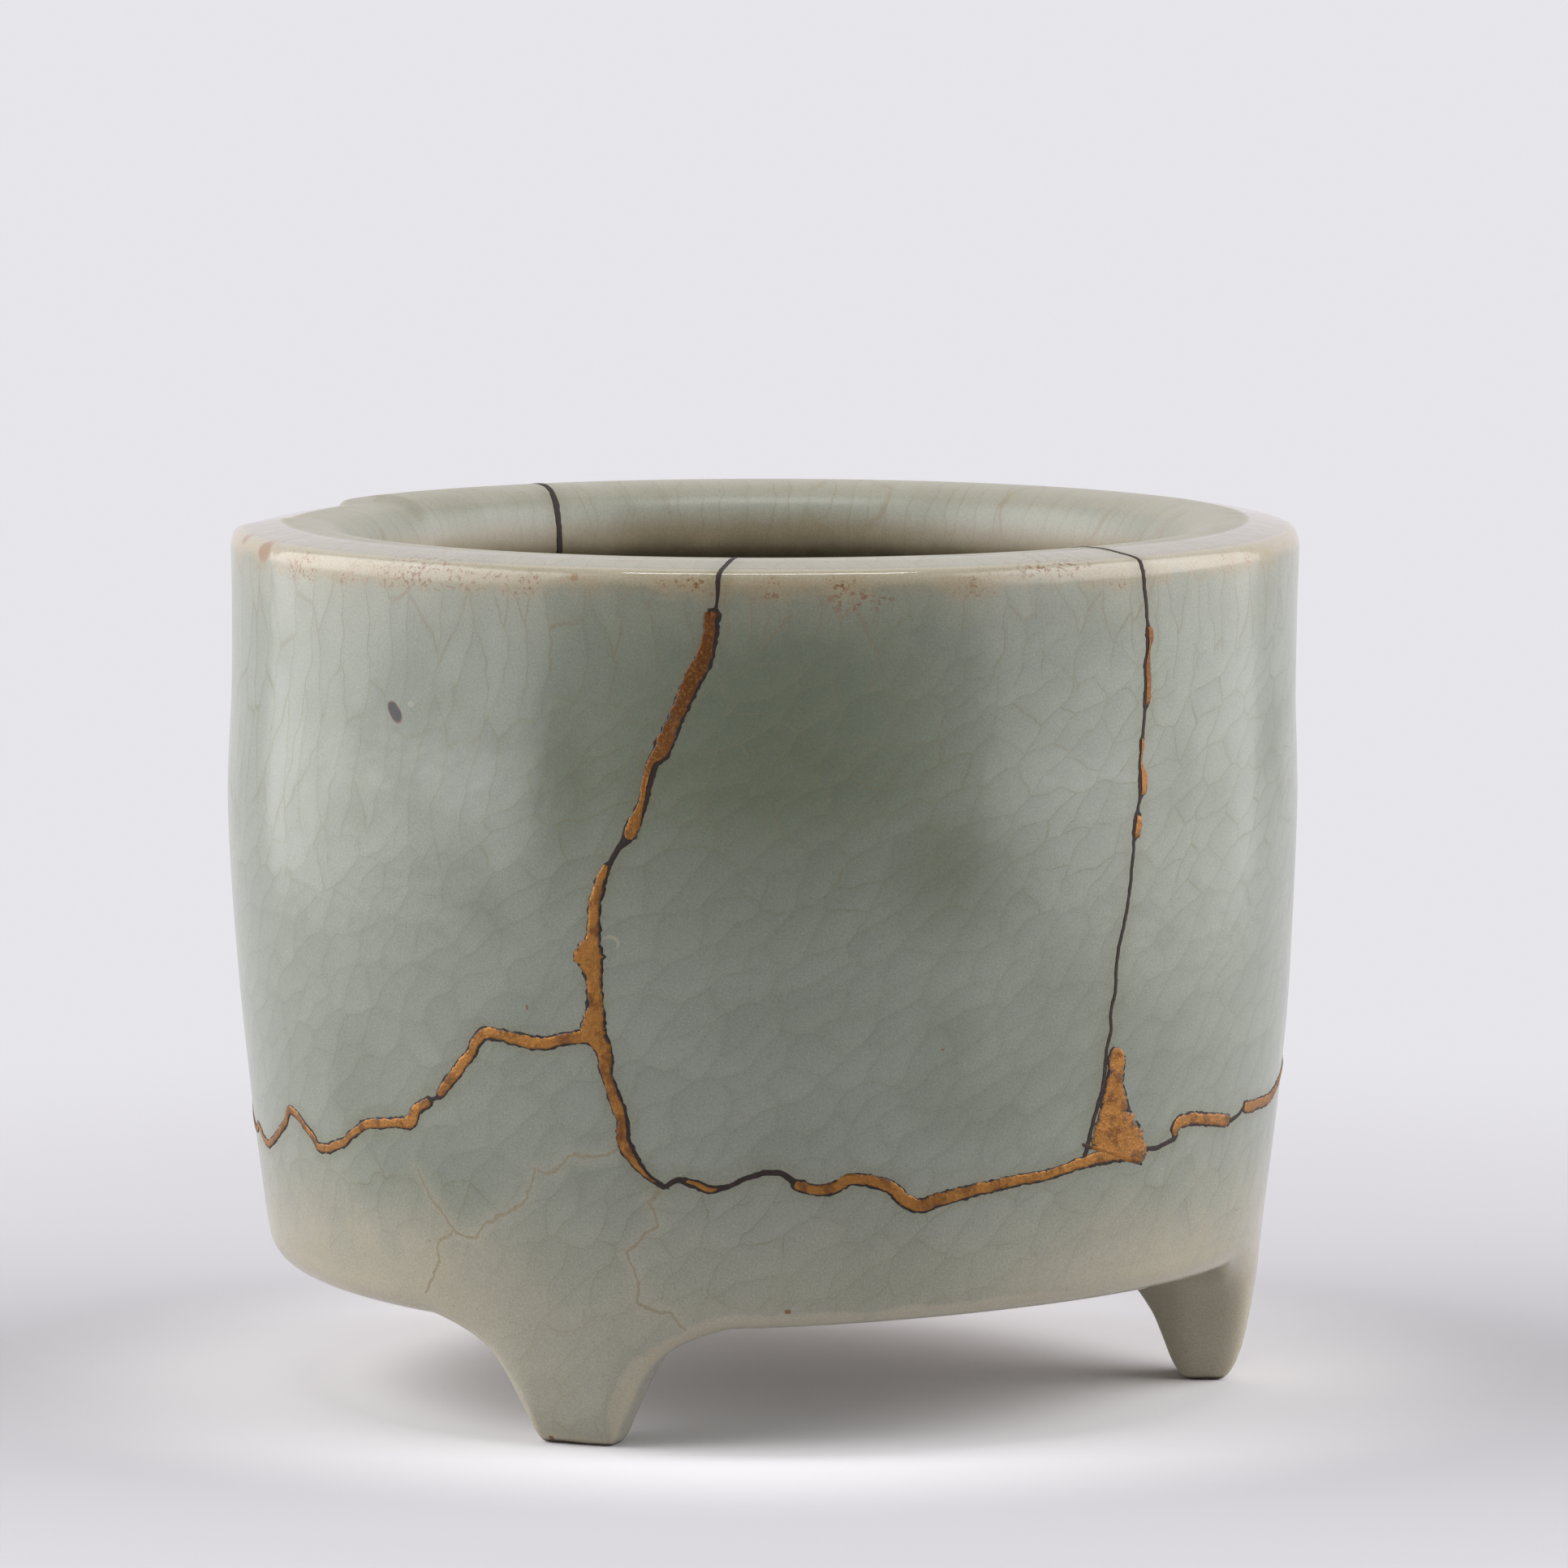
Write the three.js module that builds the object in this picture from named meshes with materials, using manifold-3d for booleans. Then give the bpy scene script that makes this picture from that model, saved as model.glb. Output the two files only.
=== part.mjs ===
// A small cylindrical celadon incense burner on three bracket feet. It was broken into four sherds
// and put together again with lacquer, dusted with gold, that fills the joints right through the wall.
// Millimetres, +Z up, origin under the middle of the vessel on the surface that the feet stand on.
// Azimuths are in degrees: 0 is the front (-Y), +90 the right (+X), 180 the back.
import * as THREE from "three";
import { mergeVertices } from "three/addons/utils/BufferGeometryUtils.js";
import Module from "manifold-3d";

// Vessel
const height = 74.8; // crest of the rim above the feet's soles
const outerRadius = 46; // at the rim, and nearly all the way down to the belly
const undersideHeight = 11.1; // clear space under the vessel, in the middle
const floorHeight = 16.8; // inside, where the ash lies
const wallThickness = 5.6;
const mouthRadius = 35; // the rim turns in to this
const lipDrop = 4.6; // how far the turned-in lip rolls down
const rimRise = 0.4; // the rim's broad top climbs by this from the shoulder to the crest
const shoulderRadius = 1.3; // rounding between the wall and the rim's top
const baseCornerRadius = 2.4;
const floorCornerRadius = 6;
const segmentsAround = 56;
const wallSteps = 8;
const arcSteps = { base: 2, shoulder: 2, lip: 4, floor: 3 };
const undersideRing = 0.55; // share of the underside's radius that has a ring of points of its own

// The wall's outline, as radius at height: straight above, a faint belly, then drawn in to the base.
const wallOutline = [
  [43.0, 13.5],
  [44.0, 21],
  [45.4, 35],
  [46.15, 50],
  [45.85, 63],
  [outerRadius, height - rimRise - shoulderRadius],
];
// Under the lip: how far outside the mouth, and how far below the lip's lowest point.
const lipUnderside = [
  [0, 1.2],
  [1.4, 3.4],
];
// The inner wall: how far it stands in from its full radius, and at what height.
const innerWallOutline = [
  [0.6, 62],
  [0.3, 42],
];

// Feet
const footAzimuths = { front: -24, right: 91, back: -147 };
const foot = {
  soleHalfWidth: 3.5,
  soleOuter: 40.5,
  soleInner: 36,
  flankLean: 0.35, // each flank widens by this for every millimetre up
  flankFlare: 5.6, // and by this much more on reaching the base
  faceInset: 0.1, // the outer face meets the wall this far inside it
  faceTop: 12, // height at which it has met the wall
  faceCurve: 2.2, // how late its slope steepens on the way down
  backLean: 0.42, // the inner side leans inward by this for every millimetre up
  backFlare: 4.2,
  cornerSoftness: 0.34,
};
// Rounding round the sole: the height it reaches, and how far it draws each side in.
const soleRounding = { height: 0.4, outer: 0.7, inner: 0.8, flank: 0.5 };
const footLevels = [0, 0.6, 2.2, 4.6, 7.2, 9.6, 14.6]; // the last one is buried in the base
const footGrid = { across: 6, deep: 3 };

// Hand-made unevenness
const baseTilt = { towardsRight: 0.63, towardsBack: 0.61 }; // the underside leans by this at its edge
const baseArch = 0.4; // the edge rises between the feet
const leftBulge = { depth: 0.25, height: 50, reach: 12, inner: 20, outer: 44 };
// A worn low stretch of the rim, back left: it begins and ends between two azimuths each.
const rimDip = { begin: [-88, -98], end: [-124, -128], depth: 0.55, above: 66 };
const baseLiftTop = 20; // the base's unevenness has died out at this height
const floorReach = 39; // inside this radius the floor stays level

// Joints: points of each break as [azimuth, height, width of the lacquer], from end to end
const overRim = height + 4;
const frontBreak = [
  [-4.8, overRim, 0.8],
  [-4.8, 71, 0.9],
  [-6.2, 67, 1.3],
  [-9.3, 61.7, 1.1],
  [-11.5, 58.5, 1.4],
  [-12.8, 54.5, 0.8],
  [-13.9, 52, 1.2],
  [-16.5, 49.2, 0.8],
  [-17.8, 45, 1.0],
  [-18.3, 42, 2.6],
  [-18.0, 38.5, 1.5],
  [-17.7, 35.5, 2.0],
  [-17.0, 32.4, 1.2],
  [-15.5, 28, 0.9],
  [-14.9, 26, 1.0],
  [-13.2, 23.9, 0.8],
  [-11.2, 22.8, 0.7],
];
const leftBreak = [
  [-18.2, 35.3, 1.3],
  [-22, 34.9, 1.2],
  [-26.7, 34.7, 1.1],
  [-30.7, 35, 1.1],
  [-33.2, 33, 1.0],
  [-37.8, 29.3, 0.9],
  [-41.5, 27.2, 1.1],
  [-49, 26.1, 0.9],
  [-54, 24, 0.9],
  [-58.6, 23.2, 0.9],
  [-61, 24.4, 0.8],
  [-65, 25.9, 0.9],
  [-68.5, 24.2, 0.8],
  [-74.7, 22.2, 0.8],
  [-80, 23.1, 0.8],
];
const rightBaseBreak = [
  [-12, 23, 0.7],
  [-8.1, 23.1, 0.9],
  [-4.8, 23, 0.7],
  [-0.1, 24.1, 0.7],
  [3.2, 23, 0.9],
  [7.3, 22.8, 1.0],
  [10.5, 23.4, 1.0],
  [13, 22.8, 1.1],
  [16.6, 21.1, 1.2],
  [21, 21.8, 1.1],
  [26.5, 22.5, 1.0],
  [33, 23.1, 0.9],
  [38.5, 23.9, 1.1],
  [45.7, 24.2, 0.9],
  [50, 24.6, 0.8],
  [53, 26, 1.2],
  [59, 25.6, 1.1],
  [63.5, 25.2, 0.8],
  [67, 26, 1.0],
  [75.5, 25.8, 1.0],
  [81, 26.6, 0.9],
];
const backBaseBreak = [
  [80, 26.5, 0.9],
  [95, 28, 0.9],
  [110, 25.2, 0.8],
  [125, 27.4, 1.0],
  [140, 29.6, 0.9],
  [152, 27, 0.9],
  [165, 24.4, 0.8],
  [180, 26, 1.0],
  [195, 28.8, 0.9],
  [209, 27.5, 1.3],
  [222, 24.8, 0.9],
  [236, 26.2, 0.8],
  [250, 27.8, 0.9],
  [265, 25.2, 0.9],
  [281, 23, 0.8],
];
const rightBreak = [
  [43.6, overRim, 0.7],
  [43.7, 71, 0.7],
  [44.3, 67, 0.8],
  [43.9, 62, 0.7],
  [43.3, 56, 0.9],
  [42.6, 51, 0.7],
  [41.3, 45, 0.7],
  [40.1, 40, 0.7],
  [39.9, 35.5, 0.7],
  [40.5, 32.9, 1.8],
  [40.5, 30.1, 2.2],
  [40.7, 27.3, 4.0],
  [41.2, 25.2, 6.0],
  [41.0, 23.9, 7.2],
];
const backBreak = [
  [209.5, overRim, 1.0],
  [209.2, 70, 1.0],
  [211, 62, 0.9],
  [208.5, 54, 0.8],
  [210.5, 47, 0.9],
  [208, 40, 0.8],
  [209.6, 33, 0.9],
  [209, 27.4, 1.2],
];
const breaks = [frontBreak, leftBreak, rightBaseBreak, backBaseBreak, rightBreak, backBreak];
const jointGap = 0.3; // between the lacquer and each sherd
const lacquerProud = 0.2; // how far the lacquer stands out of the glaze
const breakInner = 28; // the breaks are radial, from this radius to outside the wall
const breakOuter = 50;
const breakArcRadius = 44; // widths of the joints are measured on this radius

// Names of the wall sherds, with the azimuth of each one's middle
const wallSherds = { front_wall_sherd: 13, left_wall_sherd: -84, back_wall_sherd: 126 };

const radians = THREE.MathUtils.degToRad;
const smooth = THREE.MathUtils.smoothstep;

// A point on the vessel, from its azimuth in radians, radius and height.
function place(azimuth, radius, z) {
  return new THREE.Vector3(radius * Math.sin(azimuth), -radius * Math.cos(azimuth), z);
}

// Moves every vertex of a geometry to where shape() puts it.
function reshape(geometry, shape) {
  const position = geometry.getAttribute("position");
  const point = new THREE.Vector3();
  for (let i = 0; i < position.count; i++) {
    point.fromBufferAttribute(position, i);
    const moved = shape(point);
    position.setXYZ(i, moved.x, moved.y, moved.z);
  }
  return geometry;
}

// Points on a quarter or part of an ellipse, from one angle to another in degrees.
function arc(centre, radii, from, to, steps) {
  return Array.from({ length: steps + 1 }, (_, i) => {
    const angle = radians(from + ((to - from) * i) / steps);
    return [centre[0] + radii[0] * Math.cos(angle), centre[1] + radii[1] * Math.sin(angle)];
  });
}

// Half of the vessel's section, from the middle of the underside out, up, over the rim and down
// inside to the middle of the floor. proud makes the walls and rim stand out on every side.
function vesselSection(proud) {
  const top = height + proud;
  const mouth = mouthRadius - proud;
  const flatEnd = mouthRadius + lipDrop;
  const baseEdge = wallOutline[0][0] - baseCornerRadius;
  const innerWall = outerRadius - wallThickness - proud;
  const innerBase = wallOutline[1][0] - wallThickness - proud;
  const wall = new THREE.SplineCurve(wallOutline.map((p) => new THREE.Vector2(p[0] + proud, p[1])));
  const points = [
    [0, undersideHeight],
    [baseEdge * undersideRing, undersideHeight],
    ...arc(
      [baseEdge, undersideHeight + baseCornerRadius],
      [baseCornerRadius + proud, baseCornerRadius],
      -90,
      -22,
      arcSteps.base,
    ),
    ...wall.getPoints(wallSteps).map((p) => [p.x, p.y]),
    ...arc(
      [outerRadius - shoulderRadius, height - rimRise - shoulderRadius],
      [shoulderRadius + proud, shoulderRadius + proud],
      30,
      90,
      arcSteps.shoulder,
    ),
    ...arc([flatEnd, top - lipDrop], [flatEnd - mouth, lipDrop], 90, 180, arcSteps.lip),
    ...lipUnderside.map(([outward, below]) => [mouth + outward, top - lipDrop - below]),
    ...innerWallOutline.map(([inward, z]) => [innerWall - inward, z]),
    ...arc(
      [innerBase - floorCornerRadius, floorHeight + floorCornerRadius],
      [floorCornerRadius, floorCornerRadius],
      0,
      -90,
      arcSteps.floor,
    ),
    [0, floorHeight],
  ];
  return points.map((p) => new THREE.Vector2(p[0], p[1]));
}

// How far the underside's edge lies above its middle height.
function baseLift(azimuth, radius) {
  const share = radius / wallOutline[0][0];
  const between = azimuth - radians((footAzimuths.front + footAzimuths.right) / 2);
  const tilt = baseTilt.towardsRight * Math.sin(azimuth) - baseTilt.towardsBack * Math.cos(azimuth);
  return share * tilt + share ** 4 * baseArch * Math.cos(3 * between);
}

// The thrower's unevenness: a fuller left side, a low stretch of rim and a base cut out of level.
function handMade(point) {
  const azimuth = Math.atan2(point.x, -point.y);
  const degrees = THREE.MathUtils.radToDeg(azimuth);
  const radius = Math.hypot(point.x, point.y);
  const belly = Math.exp(-(((point.z - leftBulge.height) / leftBulge.reach) ** 2));
  const bulge = leftBulge.depth * belly * smooth(radius, leftBulge.inner, leftBulge.outer);
  const low = smooth(-degrees, ...rimDip.begin.map(Math.abs)) * (1 - smooth(-degrees, ...rimDip.end.map(Math.abs)));
  const base = (1 - smooth(point.z, undersideHeight + 1, baseLiftTop)) * baseLift(azimuth, radius);
  const onFloor = point.z > floorHeight - 1 && radius < floorReach;
  return place(
    azimuth,
    radius - bulge * Math.sin(azimuth),
    point.z + (onFloor ? 0 : base) - rimDip.depth * low * smooth(point.z, rimDip.above, height - 1),
  );
}

function vesselGeometry(proud) {
  const turned = new THREE.LatheGeometry(vesselSection(proud), segmentsAround);
  return reshape(turned.rotateX(Math.PI / 2), handMade);
}

// Outer and inner radius and half width of a foot at a height.
function footSection(z) {
  const share = Math.min(z, undersideHeight) / undersideHeight;
  const rounding = Math.exp(-z / soleRounding.height);
  const wall = wallOutline[0][0];
  const undercut = (wall - foot.soleOuter) * Math.max(0, 1 - z / foot.faceTop) ** foot.faceCurve;
  const flank = foot.soleHalfWidth + foot.flankLean * share * undersideHeight + foot.flankFlare * share ** 3;
  return {
    outer: wall - foot.faceInset - undercut - soleRounding.outer * rounding,
    inner: foot.soleInner - foot.backLean * z - foot.backFlare * share ** 4 + soleRounding.inner * rounding,
    halfWidth: flank - soleRounding.flank * rounding,
  };
}

// A bracket foot: a box whose every vertex is carried to the flared, rounded section at its height.
function footGeometry(azimuth) {
  const steps = footLevels.length - 1;
  const box = new THREE.BoxGeometry(2, 2, steps, footGrid.across, footGrid.deep, steps);
  return reshape(box, (p) => {
    const z = footLevels[Math.round(p.z + steps / 2)];
    const section = footSection(z);
    const across = p.x * Math.sqrt(1 - (foot.cornerSoftness * p.y * p.y) / 2);
    const deep = p.y * Math.sqrt(1 - (foot.cornerSoftness * p.x * p.x) / 2);
    const angle = radians(azimuth) + (across * section.halfWidth) / wallOutline[0][0];
    return place(angle, THREE.MathUtils.lerp(section.outer, section.inner, (deep + 1) / 2), z);
  });
}

// A radial wall that follows a break, as wide as its lacquer plus extra on each side.
function breakGeometry(points, extra) {
  const path = points.map(([azimuth, z]) => new THREE.Vector2(radians(azimuth) * breakArcRadius, z));
  const sides = path.map((p, i) => {
    const before = path[Math.max(i - 1, 0)];
    const after = path[Math.min(i + 1, path.length - 1)];
    const along = after.clone().sub(before).normalize();
    const across = new THREE.Vector2(-along.y, along.x).multiplyScalar(points[i][2] / 2 + extra);
    return [p.clone().add(across), p.clone().sub(across)];
  });
  const outline = [...sides.map((s) => s[0]), ...sides.map((s) => s[1]).reverse()];
  const wall = new THREE.ExtrudeGeometry(new THREE.Shape(outline), {
    depth: breakOuter - breakInner,
    bevelEnabled: false,
  });
  return reshape(wall, (p) => place(p.x / breakArcRadius, breakInner + p.z, p.y));
}

const wasm = await Module();
wasm.setup();

// A closed three.js geometry as a solid that can be joined and cut.
function solid(geometry) {
  geometry.deleteAttribute("normal");
  geometry.deleteAttribute("uv");
  const merged = mergeVertices(geometry, 1e-3);
  return new wasm.Manifold(
    new wasm.Mesh({
      numProp: 3,
      vertProperties: merged.getAttribute("position").array,
      triVerts: new Uint32Array(merged.index.array),
    }),
  );
}

function union(solids) {
  return solids.reduce((all, one) => all.add(one));
}

function meshOf(name, body, material) {
  const { vertProperties, triVerts } = body.getMesh();
  const geometry = new THREE.BufferGeometry();
  geometry.setAttribute("position", new THREE.BufferAttribute(vertProperties, 3));
  geometry.setIndex(new THREE.BufferAttribute(triVerts, 1));
  geometry.computeVertexNormals();
  const mesh = new THREE.Mesh(geometry, material);
  mesh.name = name;
  return mesh;
}

// The whole vessel as it was fired: the thrown body and its feet are one solid.
function firedVessel() {
  const feet = Object.values(footAzimuths).map((azimuth) => solid(footGeometry(azimuth)));
  return union([solid(vesselGeometry(0)), ...feet]);
}

// The name of a sherd, from where it lies: the base stands on the ground, the others face their way.
function sherdName(sherd) {
  const { min, max } = sherd.boundingBox();
  if (min[2] < undersideHeight) return "base_sherd_with_feet";
  const facing = Math.atan2((min[0] + max[0]) / 2, -(min[1] + max[1]) / 2);
  const apart = (azimuth) => 1 - Math.cos(facing - radians(azimuth));
  return Object.keys(wallSherds).sort((a, b) => apart(wallSherds[a]) - apart(wallSherds[b]))[0];
}

const celadon = new THREE.MeshStandardMaterial({ color: 0xb0b6aa, roughness: 0.18, metalness: 0 });
const goldLacquer = new THREE.MeshStandardMaterial({ color: 0xb07a3c, roughness: 0.4, metalness: 0.7 });

const joint = union(breaks.map((points) => solid(breakGeometry(points, 0))));
const clearance = union(breaks.map((points) => solid(breakGeometry(points, jointGap))));
const sherds = firedVessel().subtract(clearance).decompose();
const lacquer = joint.intersect(solid(vesselGeometry(lacquerProud)));

const burner = new THREE.Group();
burner.name = "incense_burner";
for (const sherd of sherds) {
  burner.add(meshOf(sherdName(sherd), sherd, celadon));
}
burner.add(meshOf("gold_lacquer_seams", lacquer, goldLacquer));

export default burner;
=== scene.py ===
import math

import bmesh
import bpy
import numpy as np
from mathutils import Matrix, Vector, noise
from mathutils.kdtree import KDTree


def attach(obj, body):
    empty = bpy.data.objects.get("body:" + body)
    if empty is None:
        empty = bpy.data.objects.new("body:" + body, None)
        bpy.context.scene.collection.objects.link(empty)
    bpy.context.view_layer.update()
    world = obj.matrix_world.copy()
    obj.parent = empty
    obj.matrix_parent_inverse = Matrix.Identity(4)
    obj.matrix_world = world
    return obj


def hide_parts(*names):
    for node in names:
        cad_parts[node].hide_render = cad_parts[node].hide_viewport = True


# Lengths are in millimetres and become metres where a mesh is made.
# Azimuths are in degrees: 0 is the front (-Y), 90 the right (+X), 180 the back.
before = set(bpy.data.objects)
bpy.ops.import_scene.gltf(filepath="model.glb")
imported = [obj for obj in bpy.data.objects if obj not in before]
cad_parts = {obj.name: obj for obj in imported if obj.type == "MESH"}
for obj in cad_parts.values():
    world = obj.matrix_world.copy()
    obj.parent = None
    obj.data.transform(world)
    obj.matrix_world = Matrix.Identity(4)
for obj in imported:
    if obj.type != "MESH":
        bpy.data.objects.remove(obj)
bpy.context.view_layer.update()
mm = 0.001
scene = bpy.context.scene


# Camera, floor and light

cameraSettings = {
    "place": (1.62, -980.0, 157.3),
    "tiltDown": 6.15,  # degrees
    "lens": 261.9,
    "sensor": 36.0,
}
stageSettings = {
    "floorSize": 6000.0,
    "floorColour": (0.43, 0.425, 0.44, 1),
    # the paper under the pot is painted lighter than the rest: painted light that lifts the shade beneath
    # the pot
    "paintedLightUnderPot": (0.80, 0.79, 0.80, 1),
    "paintedLightFades": (28.0, 74.0),  # distance from the axis over which the painted light under the pot gives way to the greyer paper
    "backdrop": (0.795, 0.785, 0.82, 1),
    "floorFades": (62.0, 225.0),  # distance from the pot over which the floor turns into backdrop
}
# What the surroundings shine on the pot, as linear colour.
studioLight = {
    "front": (0.04, 0.04, 0.04),
    "side": (3.3, 3.25, 3.35),
    "back": (0.83, 0.78, 0.82),
    "top": (0.15, 0.15, 0.15),
}
# Where one part of the surroundings gives way to the next: degrees round from the front, and height.
studioFades = {
    "front": (75, 32),
    "back": (100, 140),
    "low": (0.93, 0.66),
}
# Upright panels on both sides, standing on the table, and one overhead.
panels = {
    "leftPanel": {"place": (-270, -38, 225), "size": (454, 450), "power": 0.98, "colour": (1, 1, 1)},
    "rightPanel": {"place": (270, -38, 225), "size": (454, 450), "power": 0.74, "colour": (1, 1, 1)},
    "overhead": {"place": (0, -60, 520), "size": (300, 40), "power": 0.8, "colour": (1, 1, 1)},
}


def makeCamera():
    data = bpy.data.cameras.new("camera")
    data.lens = cameraSettings["lens"]
    data.sensor_width = cameraSettings["sensor"]
    camera = bpy.data.objects.new("camera", data)
    camera.location = Vector(cameraSettings["place"]) * mm
    camera.rotation_euler = (math.radians(90 - cameraSettings["tiltDown"]), 0, 0)
    scene.collection.objects.link(camera)
    scene.camera = camera


# Real floor round the pot, with painted light on the paper under and near the pot, which further off passes
# into the colour of the backdrop.
def makeFloor():
    half = stageSettings["floorSize"] * mm / 2
    corners = [(-half, -half, 0), (half, -half, 0), (half, half, 0), (-half, half, 0)]
    floor = meshObject("floor", corners, faces=[(0, 1, 2, 3)])
    material = bpy.data.materials.new("palePaper")
    material.use_nodes = True
    tree = material.node_tree
    tree.nodes.clear()
    place = addNode(tree, "ShaderNodeTexCoord").outputs["Object"]
    near, far = stageSettings["floorFades"]
    away = fade(tree, vectorMaths(tree, "LENGTH", place), near * mm, far * mm)
    inner, outer = stageSettings["paintedLightFades"]
    underPotLightShare = fade(tree, vectorMaths(tree, "LENGTH", place), inner * mm, outer * mm)
    # painted light: pale paper under the pot, greyer further out
    tint = mixColour(tree, underPotLightShare, stageSettings["paintedLightUnderPot"], stageSettings["floorColour"])
    paper = addNode(tree, "ShaderNodeBsdfDiffuse", {"Color": tint})
    glow = addNode(tree, "ShaderNodeEmission", {"Color": stageSettings["backdrop"]})
    both = addNode(tree, "ShaderNodeMixShader", {0: away, 1: paper.outputs[0], 2: glow.outputs[0]})
    addNode(tree, "ShaderNodeOutputMaterial", {"Surface": both.outputs[0]})
    floor.data.materials.append(material)


def makePanels():
    for name, panel in panels.items():
        data = bpy.data.lights.new(name, "AREA")
        data.shape = "RECTANGLE"
        data.size, data.size_y = (length * mm for length in panel["size"])
        data.energy = panel["power"]
        data.color = panel["colour"]
        light = bpy.data.objects.new(name, data)
        light.location = Vector(panel["place"]) * mm
        aim = Vector((-panel["place"][0], 0, 0)) if panel["place"][0] else Vector((0, 0, -1))
        light.rotation_euler = aim.to_track_quat("-Z", "Y").to_euler()
        scene.collection.objects.link(light)


# A darker front and a pale back. The camera sees plain backdrop.
def makeWorld():
    world = bpy.data.worlds.new("studio")
    scene.world = world
    world.use_nodes = True
    tree = world.node_tree
    tree.nodes.clear()
    direction = addNode(tree, "ShaderNodeTexCoord").outputs["Generated"]
    axis = addNode(tree, "ShaderNodeSeparateXYZ", {0: direction})
    sideways = maths(tree, "ABSOLUTE", axis.outputs["X"])
    turn = maths(tree, "ARCTAN2", sideways, maths(tree, "MULTIPLY", axis.outputs["Y"], -1))
    front = fade(tree, turn, *np.radians(studioFades["front"]))
    back = fade(tree, turn, *np.radians(studioFades["back"]))
    side = maths(tree, "SUBTRACT", maths(tree, "SUBTRACT", 1.0, front), back)
    low = fade(tree, axis.outputs["Z"], *studioFades["low"])
    masks = {"front": front, "side": side, "back": back}
    masks = {name: maths(tree, "MULTIPLY", mask, low) for name, mask in masks.items()}
    masks["top"] = maths(tree, "SUBTRACT", 1.0, low)
    total = None
    for name, mask in masks.items():
        part = vectorMaths(tree, "SCALE", studioLight[name], mask)
        total = vectorMaths(tree, "ADD", total, part) if total else part
    light = addNode(tree, "ShaderNodeBackground", {"Color": total})
    seen = addNode(tree, "ShaderNodeBackground", {"Color": stageSettings["backdrop"]})
    path = addNode(tree, "ShaderNodeLightPath")
    both = addNode(
        tree,
        "ShaderNodeMixShader",
        {0: path.outputs["Is Camera Ray"], 1: light.outputs[0], 2: seen.outputs[0]},
    )
    addNode(tree, "ShaderNodeOutputWorld", {"Surface": both.outputs[0]})
    scene.view_settings.view_transform = "Standard"


# Small helpers

def onCylinder(azimuth, radius, z):
    angle = math.radians(azimuth)
    return Vector((radius * math.sin(angle), -radius * math.cos(angle), z))


def smooth(value, low, high):
    t = np.clip((np.asarray(value, float) - low) / (high - low), 0, 1)
    return t * t * (3 - 2 * t)


def addNode(tree, kind, inputs=None, **settings):
    node = tree.nodes.new(kind)
    for name, value in settings.items():
        setattr(node, name, value)
    for key, value in (inputs or {}).items():
        if isinstance(value, bpy.types.NodeSocket):
            tree.links.new(value, node.inputs[key])
        else:
            node.inputs[key].default_value = value
    return node


def maths(tree, operation, *values, clamp=False):
    node = addNode(tree, "ShaderNodeMath", dict(enumerate(values)), operation=operation, use_clamp=clamp)
    return node.outputs[0]


def vectorMaths(tree, operation, *values):
    keys = {0: values[0]}
    if len(values) > 1:
        keys["Scale" if operation == "SCALE" else 1] = values[1]
    node = addNode(tree, "ShaderNodeVectorMath", keys, operation=operation)
    return node.outputs["Value" if operation in ("LENGTH", "DOT_PRODUCT") else "Vector"]


def vectorOf(tree, x, y, z=0.0):
    return addNode(tree, "ShaderNodeCombineXYZ", {0: x, 1: y, 2: z}).outputs[0]


# low where the value is at start, high where it is at end, smooth between
def fade(tree, value, start, end, low=0.0, high=1.0):
    node = addNode(
        tree,
        "ShaderNodeMapRange",
        {0: value, 1: start, 2: end, 3: low, 4: high},
        interpolation_type="SMOOTHSTEP",
    )
    return node.outputs[0]


# A smooth curve through the points, spaced by step or by the points' own last column.
# Its length is measured on the first columns only.
def curveThrough(points, step=None, measured=2):
    p = np.array(points, float)
    p = np.vstack([2 * p[0] - p[1], p, 2 * p[-1] - p[-2]])
    pointsPerSpan = 24
    t = np.linspace(0, 1, pointsPerSpan, endpoint=False)[:, None]
    fine = []
    for a, b, c, d in zip(p, p[1:], p[2:], p[3:]):
        square = (2 * a - 5 * b + 4 * c - d) * t**2
        cube = (3 * b - a - 3 * c + d) * t**3
        fine.append(0.5 * (2 * b + (c - a) * t + square + cube))
    fine = np.vstack(fine + [p[-2:-1]])
    pieces = np.linalg.norm(np.diff(fine[:, :measured], axis=0), axis=1)
    spacing = step if step else (fine[1:, -1] + fine[:-1, -1]) / 2
    along = np.concatenate([[0], np.cumsum(pieces / spacing)])
    wanted = np.linspace(0, along[-1], max(3, round(along[-1]) + 1))
    return np.stack([np.interp(wanted, along, fine[:, k]) for k in range(fine.shape[1])], axis=1)


def meshObject(name, vertices, edges=(), faces=()):
    mesh = bpy.data.meshes.new(name)
    mesh.from_pydata([tuple(v) for v in vertices], edges, faces)
    thing = bpy.data.objects.new(name, mesh)
    scene.collection.objects.link(thing)
    return thing


def putAttribute(thing, name, values, kind="FLOAT"):
    attribute = thing.data.attributes.new(name, kind, "POINT")
    field = "value" if kind == "FLOAT" else "vector"
    attribute.data.foreach_set(field, np.ascontiguousarray(values, dtype=np.float32).ravel())


def triangles(thing):
    thing.data.calc_loop_triangles()
    return len(thing.data.loop_triangles)


def positionsOf(mesh):
    flat = np.empty(len(mesh.vertices) * 3, dtype=np.float32)
    mesh.vertices.foreach_get("co", flat)
    return flat.reshape(-1, 3).astype(float)


# Swaps a piece's live modifiers for their result.
def applyModifiers(thing, name):
    depsgraph = bpy.context.evaluated_depsgraph_get()
    mesh = bpy.data.meshes.new_from_object(thing.evaluated_get(depsgraph))
    mesh.name = name
    thing.modifiers.clear()
    thing.data = mesh
    return thing


def discard(*things):
    for thing in things:
        bpy.data.objects.remove(thing, do_unlink=True)


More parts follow.
